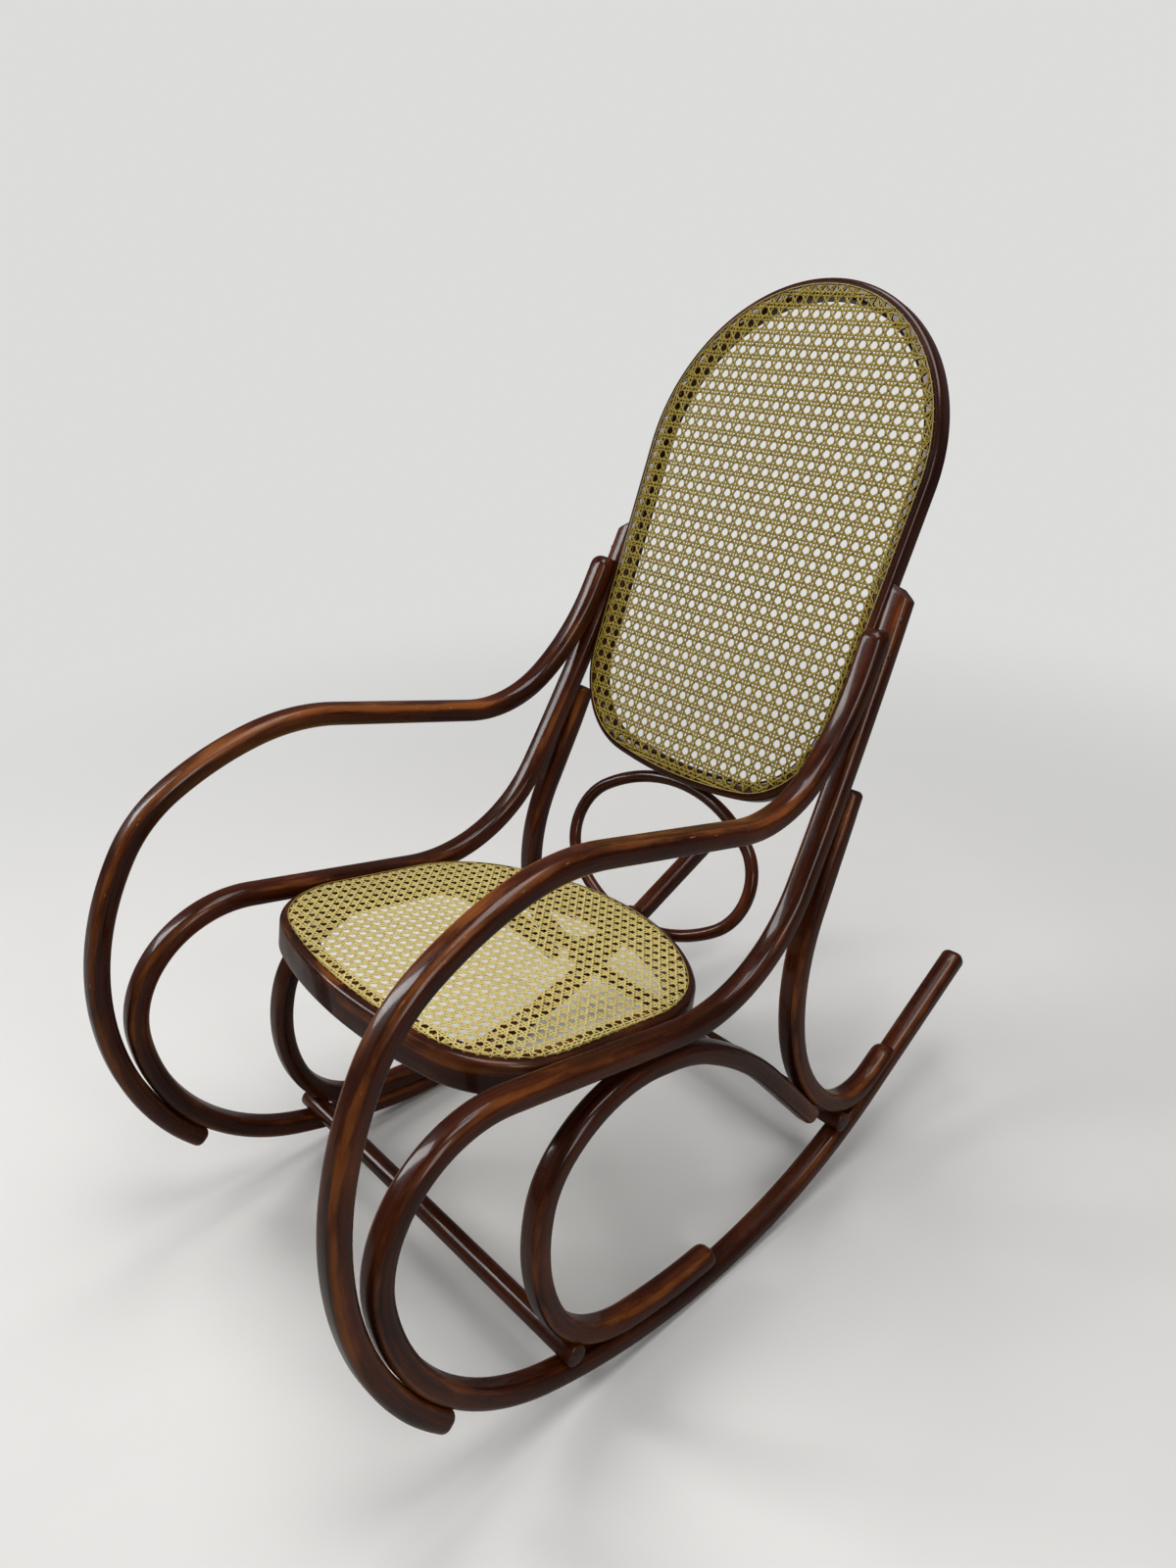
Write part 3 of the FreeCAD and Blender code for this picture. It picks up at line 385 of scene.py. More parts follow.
# %% Node groups for grain and wear
def new_group(name, vector, values, outputs):
    """A group that takes a vector and some values with their defaults, and puts out values."""
    group = bpy.data.node_groups.new(name, "ShaderNodeTree")
    group.interface.new_socket(vector, in_out="INPUT", socket_type="NodeSocketVector")
    for label, value in values.items():
        socket = group.interface.new_socket(label, in_out="INPUT", socket_type="NodeSocketFloat")
        socket.default_value = value
    for label in outputs:
        group.interface.new_socket(label, in_out="OUTPUT", socket_type="NodeSocketFloat")
    return group, group.nodes.new("NodeGroupInput").outputs, group.nodes.new("NodeGroupOutput").inputs


def straight_grain_group():
    """Tone is light and dark streaks along the stick, and Flecks the short marks of beech."""
    tree, given, out = new_group("Straight_grain", "Stick", {"Streaks": 1.0}, ("Tone", "Flecks"))
    fine = noise(tree, given["Stick"], (5, 170, 170), 6.0, 0.62)
    broad = noise(tree, given["Stick"], (9, 34, 34), 4.0, 0.55)
    tone = sums(tree, "ADD", sums(tree, "MULTIPLY", fine, 0.55), sums(tree, "MULTIPLY", broad, 0.45))
    tree.links.new(sums(tree, "MULTIPLY", between(tree, tone, 0.36, 0.66), given["Streaks"]), out["Tone"])
    flecks = noise(tree, given["Stick"], (70, 900, 900), 2.0)
    tree.links.new(between(tree, flecks, 0.60, 0.72), out["Flecks"])
    return tree


def worn_places_group():
    """Worn is rubbed patches, more of them on corners and where Rub is high. Scratches are nicks."""
    tree, given, out = new_group("Worn_places", "Stick", {"Rub": 0.0, "Corners": 0.42},
                                 ("Worn", "Scratches"))
    to_edge = (1, 1 / (ROD_DEEP / 2 * METRES), 1 / (ROD_WIDE / 2 * METRES))
    sized = stretched(tree, given["Stick"], to_edge)
    sized = add(tree, "ShaderNodeVectorMath", [(0, sized)], operation="ABSOLUTE").outputs[0]
    sized = add(tree, "ShaderNodeSeparateXYZ", [(0, sized)]).outputs
    corner = between(tree, sums(tree, "ADD", sized["Y"], sized["Z"]), 1.40, 1.58)
    rubbed = sums(tree, "ADD", given["Rub"], sums(tree, "MULTIPLY", corner, given["Corners"]))
    patches = noise(tree, given["Stick"], (9, 48, 48), 5.0, 0.60)
    limit = sums(tree, "SUBTRACT", 0.80, sums(tree, "MULTIPLY", rubbed, 0.36))
    tree.links.new(between(tree, sums(tree, "SUBTRACT", patches, limit), -0.16, 0.16), out["Worn"])
    nicks = noise(tree, given["Stick"], (60, 330, 330), 3.0, 0.6)
    limit = sums(tree, "SUBTRACT", 0.86, sums(tree, "MULTIPLY", rubbed, 0.22))
    tree.links.new(between(tree, sums(tree, "SUBTRACT", nicks, limit), 0.0, 0.05), out["Scratches"])
    return tree


def varnish_marks_group():
    """Haze is dust and wear on the varnish, and Ripple the faint waves in its skin."""
    tree, given, out = new_group("Varnish_marks", "Place", {}, ("Haze", "Ripple"))
    tree.links.new(between(tree, noise(tree, given["Place"], 26.0, 5.0, 0.65), 0.35, 0.72), out["Haze"])
    tree.links.new(noise(tree, given["Place"], 55.0, 2.0), out["Ripple"])
    return tree


straight_grain, worn_places = straight_grain_group(), worn_places_group()
varnish_marks = varnish_marks_group()

# %% [markdown]
# The varnished wood puts these effects on each other: streaks of warmer stain, dark flecks, the
# orange worn places and last the nicks that go through to pale wood. A clear coat gives the
# varnish its second, sharper gleam. The coat is thin, and thinner where the wood is worn, because a
# full one would lay a grey veil over so dark a stain. The rings are darker than the rods, as on the
# real chair.

# %% Varnished wood
PALE_NICK = (0.36, 0.19, 0.085)
FLECK_SHADE = 0.45
COAT, COAT_WORN = 0.28, 0.16
DARK_STAIN = (0.0165, 0.0030, 0.0009)
WARM_STAIN = (0.068, 0.0135, 0.0033)
WORN_STAIN = (0.195, 0.057, 0.0120)
RING_DARK = (0.014, 0.0026, 0.0009)
RING_WARM = (0.046, 0.0092, 0.0028)


def wood_finish(name, dark, warm, worn, gloss):
    material, tree, shader = new_finish(name)
    stick = carried(tree, "stick")
    grain = add(tree, "ShaderNodeGroup", node_tree=straight_grain, links=[("Stick", stick)]).outputs
    wear = add(tree, "ShaderNodeGroup", node_tree=worn_places,
               links=[("Stick", stick), ("Rub", carried(tree, "rub", "Fac"))]).outputs
    marks = add(tree, "ShaderNodeGroup", node_tree=varnish_marks,
                links=[("Place", object_place(tree))]).outputs
    colour = blend_colour(tree, grain["Tone"], dark, warm)
    flecked = sums(tree, "MULTIPLY", grain["Flecks"], 0.45)
    colour = blend_colour(tree, flecked, colour, [part * FLECK_SHADE for part in dark])
    colour = blend_colour(tree, wear["Worn"], colour, worn)
    scratch = sums(tree, "MULTIPLY", wear["Scratches"], 0.75)
    colour = blend_colour(tree, scratch, colour, PALE_NICK)
    rough = sums(tree, "ADD", between(tree, marks["Haze"], 0.0, 1.0, gloss - 0.05, gloss + 0.12),
                 sums(tree, "MULTIPLY", wear["Worn"], 0.10))
    height = sums(tree, "ADD", sums(tree, "MULTIPLY", grain["Tone"], 0.35),
                  sums(tree, "MULTIPLY", marks["Ripple"], 0.65))
    height = sums(tree, "SUBTRACT", height, sums(tree, "MULTIPLY", scratch, 0.6))
    cover(tree, shader, colour, rough, height, bump_strength=0.16, bump_depth=0.0012)
    coat = between(tree, wear["Worn"], 0.0, 1.0, COAT, COAT_WORN)
    tree.links.new(coat, shader.inputs["Coat Weight"])
    shader.inputs["Coat Roughness"].default_value = 0.08
    shader.inputs["Coat IOR"].default_value = 1.5
    shader.inputs["Specular IOR Level"].default_value = 0.13
    return material


rod_finish = wood_finish("Stained_beech_rods", DARK_STAIN, WARM_STAIN, WORN_STAIN, gloss=0.26)
ring_finish = wood_finish("Stained_beech_rings", RING_DARK, RING_WARM, WORN_STAIN, gloss=0.28)
print("wood finishes ready")

# %% [markdown]
# The side bow is the longest piece: one stick of two and a half metres makes the runner, the front
# curl, the seat rail and the upright. Its inner face is planed where the back stands against it.

# %% The two side bows
ROD_CORNER, ROD_SIDES, ROD_PACE = 9.5, 32, 7.0
BOW_DEEP = 24.5
BOW_START = (504.743, 206.957, -151.03)
BOW_BENDS = [("run", 225.4), ("arc", 668.0, -47.9), ("arc", 252.0, -67.7), ("arc", 126.0, -104.8),
             ("run", 216.5), ("arc", 188.0, 69.4), ("arc", 3500.0, 5.52)]
SLANT, SLANT_LOWER, SLANT_ROUNDING, TOP_LENGTH = 36, 3, 4.0, 60
BACK_EDGE, BACK_EDGE_SLOPE, BACK_LOWEST = Vector((0, 196.6, 125.0)), 88.2, 600


def slant_end(bm, pose):
    """The upright's top is sawn at a slant, high on the side of the back and lower on the outer side."""
    end, slant = Vector((0, pose[0], pose[1])), math.radians(SLANT)
    facing = forward(pose[2]) * math.cos(slant) + Vector((math.sin(slant), 0, 0))
    near = [v for v in bm.verts if (v.co - end).length < TOP_LENGTH]
    faces = {f for v in near for f in v.link_faces}
    edges = {e for f in faces for e in f.edges}
    verts = {v for f in faces for v in f.verts}
    cut = bmesh.ops.bisect_plane(bm, geom=list(verts) + list(edges) + list(faces), plane_no=facing,
                                 plane_co=end - forward(pose[2]) * SLANT_LOWER, clear_outer=True)
    return edges_in(cut["geom_cut"])


def bend_rod(start, bends, rubbed, first_end, last_end, deep=ROD_DEEP, shape_it=None):
    """A closed rod in the side frame's plane, with its grain laid and its ends rounded.

    Each end is (radius, side rounded more, radius there). A last_end of None is sawn at a slant.
    """
    half = (ROD_WIDE / 2, deep / 2)
    reach = [max(end[0], end[2]) if end else 0.0 for end in (first_end, last_end)]
    begin, inner = shorten(start, bends, *reach)
    bm = bmesh.new()
    first = section_edges(bm, begin, ROD_WIDE, deep, ROD_CORNER, ROD_SIDES)
    last, pose = sweep_section(bm, first, begin, inner, ROD_PACE)
    pillow_end(bm, first, begin, -1, *first_end, half)
    if last_end:
        pillow_end(bm, last, pose, 1, *last_end, half)
    else:
        cap_ends(bm, [slant_end(bm, pose)], SLANT_ROUNDING)
    if shape_it:
        shape_it(bm)
    lay_grain(bm, centre_line(start, bends), rubbed)
    return bm


def both_sides(label, node, build, plane_in_chair=None):
    """The left piece, and the right one as its mirror image."""
    for side in ("left", "right"):
        bm = build()
        bmesh.ops.transform(bm, matrix=SIDE, verts=bm.verts[:])
        if plane_in_chair:
            plane_in_chair(bm)
        if side == "right":
            bmesh.ops.scale(bm, vec=(-1, 1, 1), verts=bm.verts[:])
            bmesh.ops.reverse_faces(bm, faces=bm.faces[:])
        place(bm, Matrix.Identity(4))
        piece = new_piece(f"{label}_{side}", bm, rod_finish, f"{node}_{side}")
    print(label, len(piece.data.vertices), "points on each side")


def plane_beside_back(bm):
    """The upright's inner face lies flat against the back's outer edge."""
    slope = math.radians(BACK_EDGE_SLOPE)
    to_middle = BACK.to_3x3() @ Vector((0, -math.sin(slope), math.cos(slope)))
    press(bm, BACK @ BACK_EDGE, to_middle, lambda co: co.z > BACK_LOWEST)


def bow_rub(along, out):
    """The runner's outer face is scuffed by the floor, the front curl and the rail by hands and shoes."""
    floor = stretch(along, 0.03, 0.08, 0.28, 0.36) * smooth_step(0.2, 0.9, -out)
    curl = stretch(along, 0.36, 0.42, 0.66, 0.74) * smooth_step(-0.2, 0.9, -out)
    return 0.20 * floor + 0.18 * curl + 0.08


both_sides("bow", "side_bow", lambda: bend_rod(BOW_START, BOW_BENDS, bow_rub, (8.5, 0, 0), None, BOW_DEEP),
           plane_beside_back)

# %% [markdown]
# The arm starts on the front curl, swings over to the armrest and ends on the front of the upright.
# Its top is where hands rest, so the stain there has rubbed through to orange.

# %% The two arms
ARM_START = (-353.212, 100.092, 133.0)
ARM_BENDS = [("arc", 276.55, -14.8), ("arc", 345.0, -60.3), ("arc", 164.0, -29.5), ("arc", 357.549, -16.548),
             ("arc", 226.551, -25.852), ("run", 186.0), ("arc", 141.169, 49.872), ("arc", 283.302, 26.089),
             ("arc", 3475.45, 0.69)]


def arm_rub(along, out):
    rest = stretch(along, 0.33, 0.45, 0.74, 0.84) * smooth_step(-0.1, 0.8, -out)
    front = stretch(along, 0.06, 0.14, 0.34, 0.46) * smooth_step(-0.5, 0.7, -out)
    return 0.40 * rest + 0.26 * front + 0.12


both_sides("arm", "arm", lambda: bend_rod(ARM_START, ARM_BENDS, arm_rub, (7, 0, 0), (8.5, 1, 13)))

# %% [markdown]
# The loop stands on the runner, turns over under the seat rail and comes down beside the rear leg,
# where its end is planed to a taper. The rear leg has its foot on the runner's tail and its top on
# the back of the upright, and both ends are planed thin, so that they lie close.

# %% The front loops and the rear legs
LOOP_START = (14.824, 39.489, -177.254)
LOOP_BENDS = [("arc", 643.45, -12.2), ("arc", 130.7, -61.2), ("arc", 202.645, -37.032),
              ("arc", 103.023, -30.943), ("arc", 150.0, -52.8), ("run", 16.0), ("arc", 186.353, -20.65),
              ("arc", 409.708, -18.82), ("run", 124.0)]
LEG_START = (354.219, 139.626, -151.03)
LEG_BENDS = [("run", 38.6), ("arc", 88.0, -70.0), ("arc", 199.832, -43.297), ("arc", 268.861, -32.873),
             ("run", 137.8)]
UPRIGHT_CENTRE = (-2810.122, 2302.724)
UPRIGHT_BACK = 3512.55  # radius of the upright's back face about that centre, and a little air


def taper_loop(bm):
    """The rear end is planed on its outer face, over the last 80 mm."""
    face, heading = Vector((0, 195.857, 134.290)), -413.905
    front_limit, top_limit = 60, 300
    press(bm, face, forward(heading + 90), lambda co: co.y > front_limit and co.z < top_limit)


def plane_leg(bm):
    """The sole lies on the runner, the top against the upright, and the top's back is tapered."""
    sole, sole_heading = Vector((0, 367.531, 145.109)), -151.53
    foot_front, foot_top = 235, 200
    press(bm, sole, forward(sole_heading + 90), lambda co: co.z < foot_top and co.y > foot_front)
    centre, hollow_low = Vector((0, *UPRIGHT_CENTRE)), 330
    for v in bm.verts:
        off = Vector((0, v.co.y, v.co.z)) - centre
        if off.length < UPRIGHT_BACK and v.co.z > hollow_low:
            v.co += off.normalized() * (UPRIGHT_BACK - off.length)
    back, back_heading, taper_low = Vector((0, 248.235, 532.276)), -113.196, 400
    press(bm, back, forward(back_heading + 90), lambda co: co.z > taper_low)


def foot_rub(along, out):
    foot = (1 - smooth_step(0.10, 0.22, along)) * smooth_step(0.0, 0.8, out)
    tip = smooth_step(0.80, 0.97, along) * smooth_step(-0.4, 0.6, -out)
    return 0.14 * foot + 0.42 * tip + 0.12


both_sides("loop", "front_leg_loop", lambda: bend_rod(LOOP_START, LOOP_BENDS, foot_rub, (8, -1, 15),
                                                      (4.5, 0, 0), shape_it=taper_loop))
both_sides("leg", "rear_leg", lambda: bend_rod(LEG_START, LEG_BENDS, foot_rub, (8, -1, 17),
                                               (6.5, 0, 0), shape_it=plane_leg))

# %% [markdown]
# Two round stretchers hold the side frames apart. They lie on the runners and stand out a little at
# both sides, with their ends cut square and eased.

# %% The stretchers
BAR_RADIUS, BAR_STEPS, BAR_EASE = 12, 16, 1.6


def stretcher(node, reach, height, half):
    bm = bmesh.new()
    made = bmesh.ops.create_circle(bm, segments=ROD_SIDES, radius=BAR_RADIUS, cap_ends=False)["verts"]
    bmesh.ops.rotate(bm, verts=made, cent=(0, 0, 0), matrix=Matrix.Rotation(math.pi / 2, 3, "Y"))
    bmesh.ops.translate(bm, verts=made, vec=(-half, 0, 0))
    first = bm.edges[:]
    last = first
    for _ in range(BAR_STEPS):
        grown = bmesh.ops.extrude_edge_only(bm, edges=last)["geom"]
        bmesh.ops.translate(bm, verts=points_in(grown), vec=(2 * half / BAR_STEPS, 0, 0))
        last = edges_in(grown)
    cap_ends(bm, [first, last], BAR_EASE, segments=3)
    stick, rub = bm.verts.layers.float_vector.new("stick"), bm.verts.layers.float.new("rub")
    for v in bm.verts:
        v[stick] = v.co * METRES
        v[rub] = 0.08 + 0.2 * smooth_step(half - 12, half - 1, abs(v.co.x))
    place(bm, Matrix.Translation((0, reach, height)))
    new_piece(node + "_bar", bm, rod_finish, node)
    print(node, 2 * half, "mm long")


stretcher("front_stretcher", reach=-203.951, height=67.439, half=266.0)
stretcher("rear_stretcher", reach=241.585, height=92.612, half=252.0)

# %% [markdown]
# The seat and the back are closed rings, each bent from one stick. A ring is swept once round its
# whole outline: the second half repeats the bends of the first in the opposite order. The oval
# between them is a thin round rod, whose outline is its centre line.

# %% The seat ring, the back ring and the oval
RING_PACE = 6.0
SEAT_TALL, SEAT_DEEP = 37.0, 29.0
BACK_TALL, BACK_DEEP = 22.5, 22.0
OVAL_THICK, OVAL_START = 15.0, -182.0
SEAT_HALF = [("arc", 560.0, 14.317), ("arc", 111.0, 77.083), ("run", 114.0), ("arc", 138.401, 47.443),
             ("arc", 261.257, 41.157)]
BACK_HALF = [("arc", 625.0, 9.2), ("arc", 109.818, 42.606), ("arc", 130.272, 36.394), ("run", 262.0),
             ("arc", 207.919, 45.473), ("arc", 203.651, 46.327)]
OVAL_QUARTER = [("arc", 200.501, 36.243), ("arc", 64.73, 53.757)]


def inside(half, distance):
    """The same closed outline, moved inward: its start and its bends all the way round."""
    moved = [b if b[0] == "run" else ("arc", b[1] - distance, b[2]) for b in half]
    return (0.0, distance, 0.0), moved + moved[::-1]


def ring(name, node, half, plane, finish, rub, inset, wide, deep, corner=5.5, sides=32, start_at=0.0):
    start, bends = inside(half, inset)
    start = (start[0], start[1] + start_at, start[2])
    bm = bmesh.new()
    first = section_edges(bm, start, wide, deep, corner, sides)
    sweep_section(bm, first, start, bends, RING_PACE)
    bmesh.ops.remove_doubles(bm, verts=bm.verts[:], dist=0.05)
    lay_grain(bm, centre_line(start, bends), lambda along, out: rub)
    place(bm, plane)
    piece = new_piece(name, bm, finish, node)
    print(name, len(piece.data.polygons), "faces")


SEAT_LOW = SEAT @ Matrix.Translation((-SEAT_TALL / 2, 0, 0))
ring("seat_ring", "seat_frame", SEAT_HALF, SEAT_LOW, ring_finish, rub=0.05, inset=SEAT_DEEP / 2,
     wide=SEAT_TALL, deep=SEAT_DEEP)
ring("back_ring", "back_frame", BACK_HALF, BACK, ring_finish, rub=0.12, inset=BACK_DEEP / 2,
     wide=BACK_TALL, deep=BACK_DEEP)
ring("oval_rod", "back_loop", OVAL_QUARTER + OVAL_QUARTER[::-1], OVAL, rod_finish, rub=0.08, inset=0.0,
     wide=OVAL_THICK, deep=OVAL_THICK, corner=7.2, sides=24, start_at=OVAL_START)

# %% [markdown]
# Steel wood screws hold the joints. Their heads are low domes with one slot, stained over with the
# chair. Each is a short disc whose rim is rounded. Two cuts mark off the slot, and its faces are
# extruded and pushed down.

# %% Screw heads
HEAD_RADIUS, HEAD_HEIGHT, HEAD_SUNK, HEAD_ROUND = 4.2, 2.2, 1.75, 1.3
SLOT_HALF, SLOT_DEEP = 0.55, 0.9
STAINED_STEEL, BRIGHT_STEEL = (0.017, 0.0055, 0.003), (0.042, 0.014, 0.0075)


def steel_finish():
    material, tree, shader = new_finish("Stained_screw_steel")
    grains = noise(tree, object_place(tree), 420.0, 4.0)
    spots = between(tree, grains, 0.42, 0.62)
    cover(tree, shader, blend_colour(tree, spots, STAINED_STEEL, BRIGHT_STEEL),
          between(tree, spots, 0.0, 1.0, 0.55, 0.34), grains, bump_strength=0.25, bump_depth=0.0003)
    shader.inputs["Metallic"].default_value = 0.3
    return material


def screw_head(bm, spot, inward):
    """A low domed head with a slot, whose top looks away from the wood."""
    part = bmesh.new()
    bmesh.ops.create_cone(part, segments=28, radius1=HEAD_RADIUS, radius2=HEAD_RADIUS, depth=HEAD_HEIGHT,
                          cap_ends=True)
    top = [f for f in part.faces if f.normal.z > 0.9][0]
    bmesh.ops.bevel(part, geom=list(top.edges), offset=HEAD_ROUND, offset_type="OFFSET", segments=4,
                    profile=0.5, affect="EDGES", material=-1)
    bmesh.ops.translate(part, verts=part.verts[:], vec=(0, 0, HEAD_HEIGHT / 2 - HEAD_SUNK))
    for side in (-SLOT_HALF, SLOT_HALF):
        bmesh.ops.bisect_plane(part, geom=part.verts[:] + part.edges[:] + part.faces[:],
                               plane_co=(0, side, 0), plane_no=(0, 1, 0))
    slot = [f for f in part.faces if abs(f.calc_center_median().y) < 0.5 and f.normal.z > 0.5]
    made = bmesh.ops.extrude_face_region(part, geom=slot)["geom"]
    bmesh.ops.delete(part, geom=slot, context="FACES_ONLY")
    bmesh.ops.translate(part, verts=points_in(made), vec=(0, 0, -SLOT_DEEP))
    aim = (-inward).to_track_quat("Z", "X").to_matrix().to_4x4()
    bmesh.ops.transform(part, matrix=MM @ Matrix.Translation(spot) @ aim, verts=part.verts[:])
    mesh = bpy.data.meshes.new("head")
    part.to_mesh(mesh)
    part.free()
    bm.from_mesh(mesh)
    bpy.data.meshes.remove(mesh)


def heads(name, node, spots, mirrored=True):
    """All heads of one kind as one piece. Each spot is (place, direction into the wood)."""
    bm = bmesh.new()
    for (x, y, z), (into_x, into_y, into_z) in spots:
        for sign in ((1, -1) if mirrored else (1,)):
            screw_head(bm, Vector((x * sign, y, z)), Vector((into_x * sign, into_y, into_z)))
    piece = new_piece(name, bm, steel, node, sharp=50)
    print(name, len(piece.data.polygons), "faces")


steel = steel_finish()
INTO_SIDE = (-0.9988, -0.032, -0.038)
heads("arm_top_heads", "arm_top_screws", [((211.95, 243.71, 684.18), (-0.009, 0.869, -0.496))])
heads("arm_foot_heads", "arm_foot_screws", [((253.92, -417.89, 130.14), (-0.048, 0.826, 0.562))])
heads("loop_foot_heads", "loop_foot_screws", [((245.74, -63.87, 49.35), (0.039, -0.051, -0.998))])
heads("leg_foot_heads", "leg_foot_screws", [((231.5, 294.4, 124.94), (0.019, 0.453, -0.891))])
heads("loop_top_heads", "loop_top_screws", [((235.93, -88.77, 329.54), (-0.044, 0.233, 0.972))])
heads("rear_leg_top_heads", "rear_leg_top_screws", [((220.86, 207.03, 479.33), (0.009, -0.872, 0.489))])
heads("front_stretcher_heads", "front_stretcher_bolts",
      [((252.16, -252.92, 38.29), (-0.046, 0.326, 0.944))])
heads("rear_stretcher_heads", "rear_stretcher_bolts",
      [((236.82, 218.31, 48.19), (-0.024, -0.368, 0.930))])
heads("back_frame_heads", "back_frame_bolts",
      [((223.71, 287.54, 697.63), INTO_SIDE), ((225.65, 267.91, 662.89), INTO_SIDE)])
heads("seat_rail_heads", "seat_rail_screws",
      [((251.23, -216.99, 393.82), INTO_SIDE), ((249.12, -123.67, 371.38), INTO_SIDE)])
heads("back_loop_heads", "back_loop_screws",
      [((0, 190.08, 459.09), (0, -0.317, 0.949)), ((0, 101.41, 307.86), (0, -0.977, 0.212))],
      mirrored=False)

# %% [markdown]
# The seat and back are hand-woven cane in the six-way pattern. Pairs of strands run up and across,
# and the two of a pair take turns over and under. Then one strand at each slant goes over one pair
# and under the other. Between them they leave eight-sided openings. Cane is the skin of rattan, with
# fine fibres along the strand and dark rings where its leaves grew. So its finish reads an attribute
# "fibre": the distance along the strand, the place across it and a tone of the strand's own.

# %% Cane finish
SEAT_CANE = (0.70, 0.585, 0.245), (0.50, 0.385, 0.115)  # pale and tan
# The back's cane is the seat's cane in darker, deeper colours. This is painted shade, for the shade that the
# back stands in.
BACK_CANE_IN_PAINTED_SHADE = (0.295, 0.218, 0.027), (0.178, 0.122, 0.010)
BORDER_CANE = (0.37, 0.28, 0.070), (0.24, 0.168, 0.030)
KNOT_SHADE = (0.4, 0.32, 0.3)  # what is left of the tan in a leaf ring


def cane_finish(name, pale, tan):
    material, tree, shader = new_finish(name)
    fibre = carried(tree, "fibre")
    own_tone = add(tree, "ShaderNodeSeparateXYZ", [(0, fibre)]).outputs["Z"]
    lines = noise(tree, fibre, (30, 3000, 400), 3.0, 0.6)
    blotches = noise(tree, fibre, (22, 0, 900), 4.0)
    knots = noise(tree, fibre, (140, 250, 700), 2.0)
    tone = sums(tree, "ADD", sums(tree, "MULTIPLY", lines, 0.5), sums(tree, "MULTIPLY", blotches, 0.5))
    shade = sums(tree, "ADD", between(tree, tone, 0.34, 0.62), sums(tree, "MULTIPLY", own_tone, 0.45))
    colour = blend_colour(tree, sums(tree, "MULTIPLY", shade, 0.8), pale, tan)
    knot = sums(tree, "MULTIPLY", between(tree, knots, 0.66, 0.74), 0.55)
    colour = blend_colour(tree, knot, colour, [part * left for part, left in zip(tan, KNOT_SHADE)])
    cover(tree, shader, colour, between(tree, tone, 0.3, 0.7, 0.34, 0.52), lines,
          bump_strength=0.2, bump_depth=0.0002)
    shader.inputs["Specular IOR Level"].default_value = 0.3
    return material


seat_strands = cane_finish("Cane_of_the_seat", *SEAT_CANE)
back_strands_painted_shade = cane_finish("Cane_of_the_back_in_painted_shade", *BACK_CANE_IN_PAINTED_SHADE)
border_strand = cane_finish("Border_strip_cane", *BORDER_CANE)

# %% [markdown]
# A strand is a strip about two millimetres wide. A grid three points wide is laid along its path and
# its middle raised a little, which gives the rounded skin of the cane. A bevelled curve would do too,
# but the grid carries the attribute for the finish. The path is a row of beats, where the strand lies
# higher over a crossing or lower under it. Every strand ends in one of the holes drilled round the
# ring, so near the edge it runs to its nearest hole and dives in.

# %% Strands of cane
OUT = Vector((1, 0, 0))
APART, WIDE = 0.137, 0.142  # half the space in a pair and a strand's width, as shares of the pitch
THICK, DOME = 0.4, 0.12
PINCH, PINCH_FROM, PINCH_TO = 0.5, 3, 11  # share of the width near a hole, and where it widens again
LEVEL, SQUARE_RISE, SLANT_RISE = 1.1, 0.24, 0.5  # heights over the ring's face and at a crossing
DIVE, RIM, RIM_DROP = -2.2, 1.3, -0.2  # depth in the hole, the hole's rim and the drop there
FREE_END, SHORTEST, FAN = 3.0, 1.2, 0.7  # no beats near a hole, and two shares of the pitch
rng = random.Random(4315)


def lengths_along(points):
    lengths = [0.0]
    for one, two in zip(points, points[1:]):
        lengths.append(lengths[-1] + (two - one).length)
    return lengths


def ribbon(bm, points, width, tone, dome, pinch=1.0):
    """One strand: a grid three points wide, laid along its path with its middle raised a little.

    Near its holes a strand turns partly on edge, so it shows there at the share of its width named pinch.
    """
    made = bmesh.ops.create_grid(bm, x_segments=len(points) - 1, y_segments=2, size=0.5)["verts"]
    fibre = bm.verts.layers.float_vector["fibre"]
    reach = lengths_along(points)
    for v in made:
        k = round((v.co.x + 0.5) * (len(points) - 1))
        ahead = points[min(k + 1, len(points) - 1)] - points[max(k - 1, 0)]
        inward = smooth_step(PINCH_FROM, PINCH_TO, min(reach[k], reach[-1] - reach[k]))
        across = v.co.y * width * (pinch + (1 - pinch) * inward)
        v[fibre] = (reach[k] * METRES, across * METRES, tone)
        v.co = points[k] + OUT.cross(ahead).normalized() * across + OUT * (dome if abs(across) < 0.1 else 0.0)


def crossings(border, origin, direction):
    """Where a straight line enters and leaves the closed border, as distances along the line."""
    found = []
    side = Vector((0, -direction.z, direction.y))
    for one, two in zip(border, border[1:]):
        first, second = (one - origin).dot(side), (two - origin).dot(side)
        if (first > 0) != (second > 0):
            point = one.lerp(two, first / (first - second))
            found.append((point - origin).dot(direction))
    return (min(found), max(found)) if len(found) > 1 else None


def strand_path(border, holes, pitch, origin, direction, beats):
    """A strand's points. beats yields (distance, height over the middle level) for the woven stretch.

    At its ends the strand runs straight to its hole, so the strands that share one fan out from it.
    """
    ends = crossings(border, origin, direction)
    if not ends or ends[1] - ends[0] < SHORTEST * pitch:
        return None
    first, last = ends
    start, stop = origin + direction * first, origin + direction * last
    to_first_hole = min(holes, key=lambda hole: (hole - start).length) - start
    to_last_hole = min(holes, key=lambda hole: (hole - stop).length) - stop
    stations = [(first, DIVE), (first + RIM, RIM_DROP)]
    stations += [(s, rise) for s, rise in beats(first, last) if first + FREE_END < s < last - FREE_END]
    stations += [(last - RIM, RIM_DROP), (last, DIVE)]
    points = []
    for s, rise in stations:
        point = origin + direction * s
        point += to_first_hole * max(0.0, 1 - (s - first) / (FAN * pitch))
        point += to_last_hole * max(0.0, 1 - (last - s) / (FAN * pitch))
        points.append(point + OUT * (LEVEL + rise))
    return points


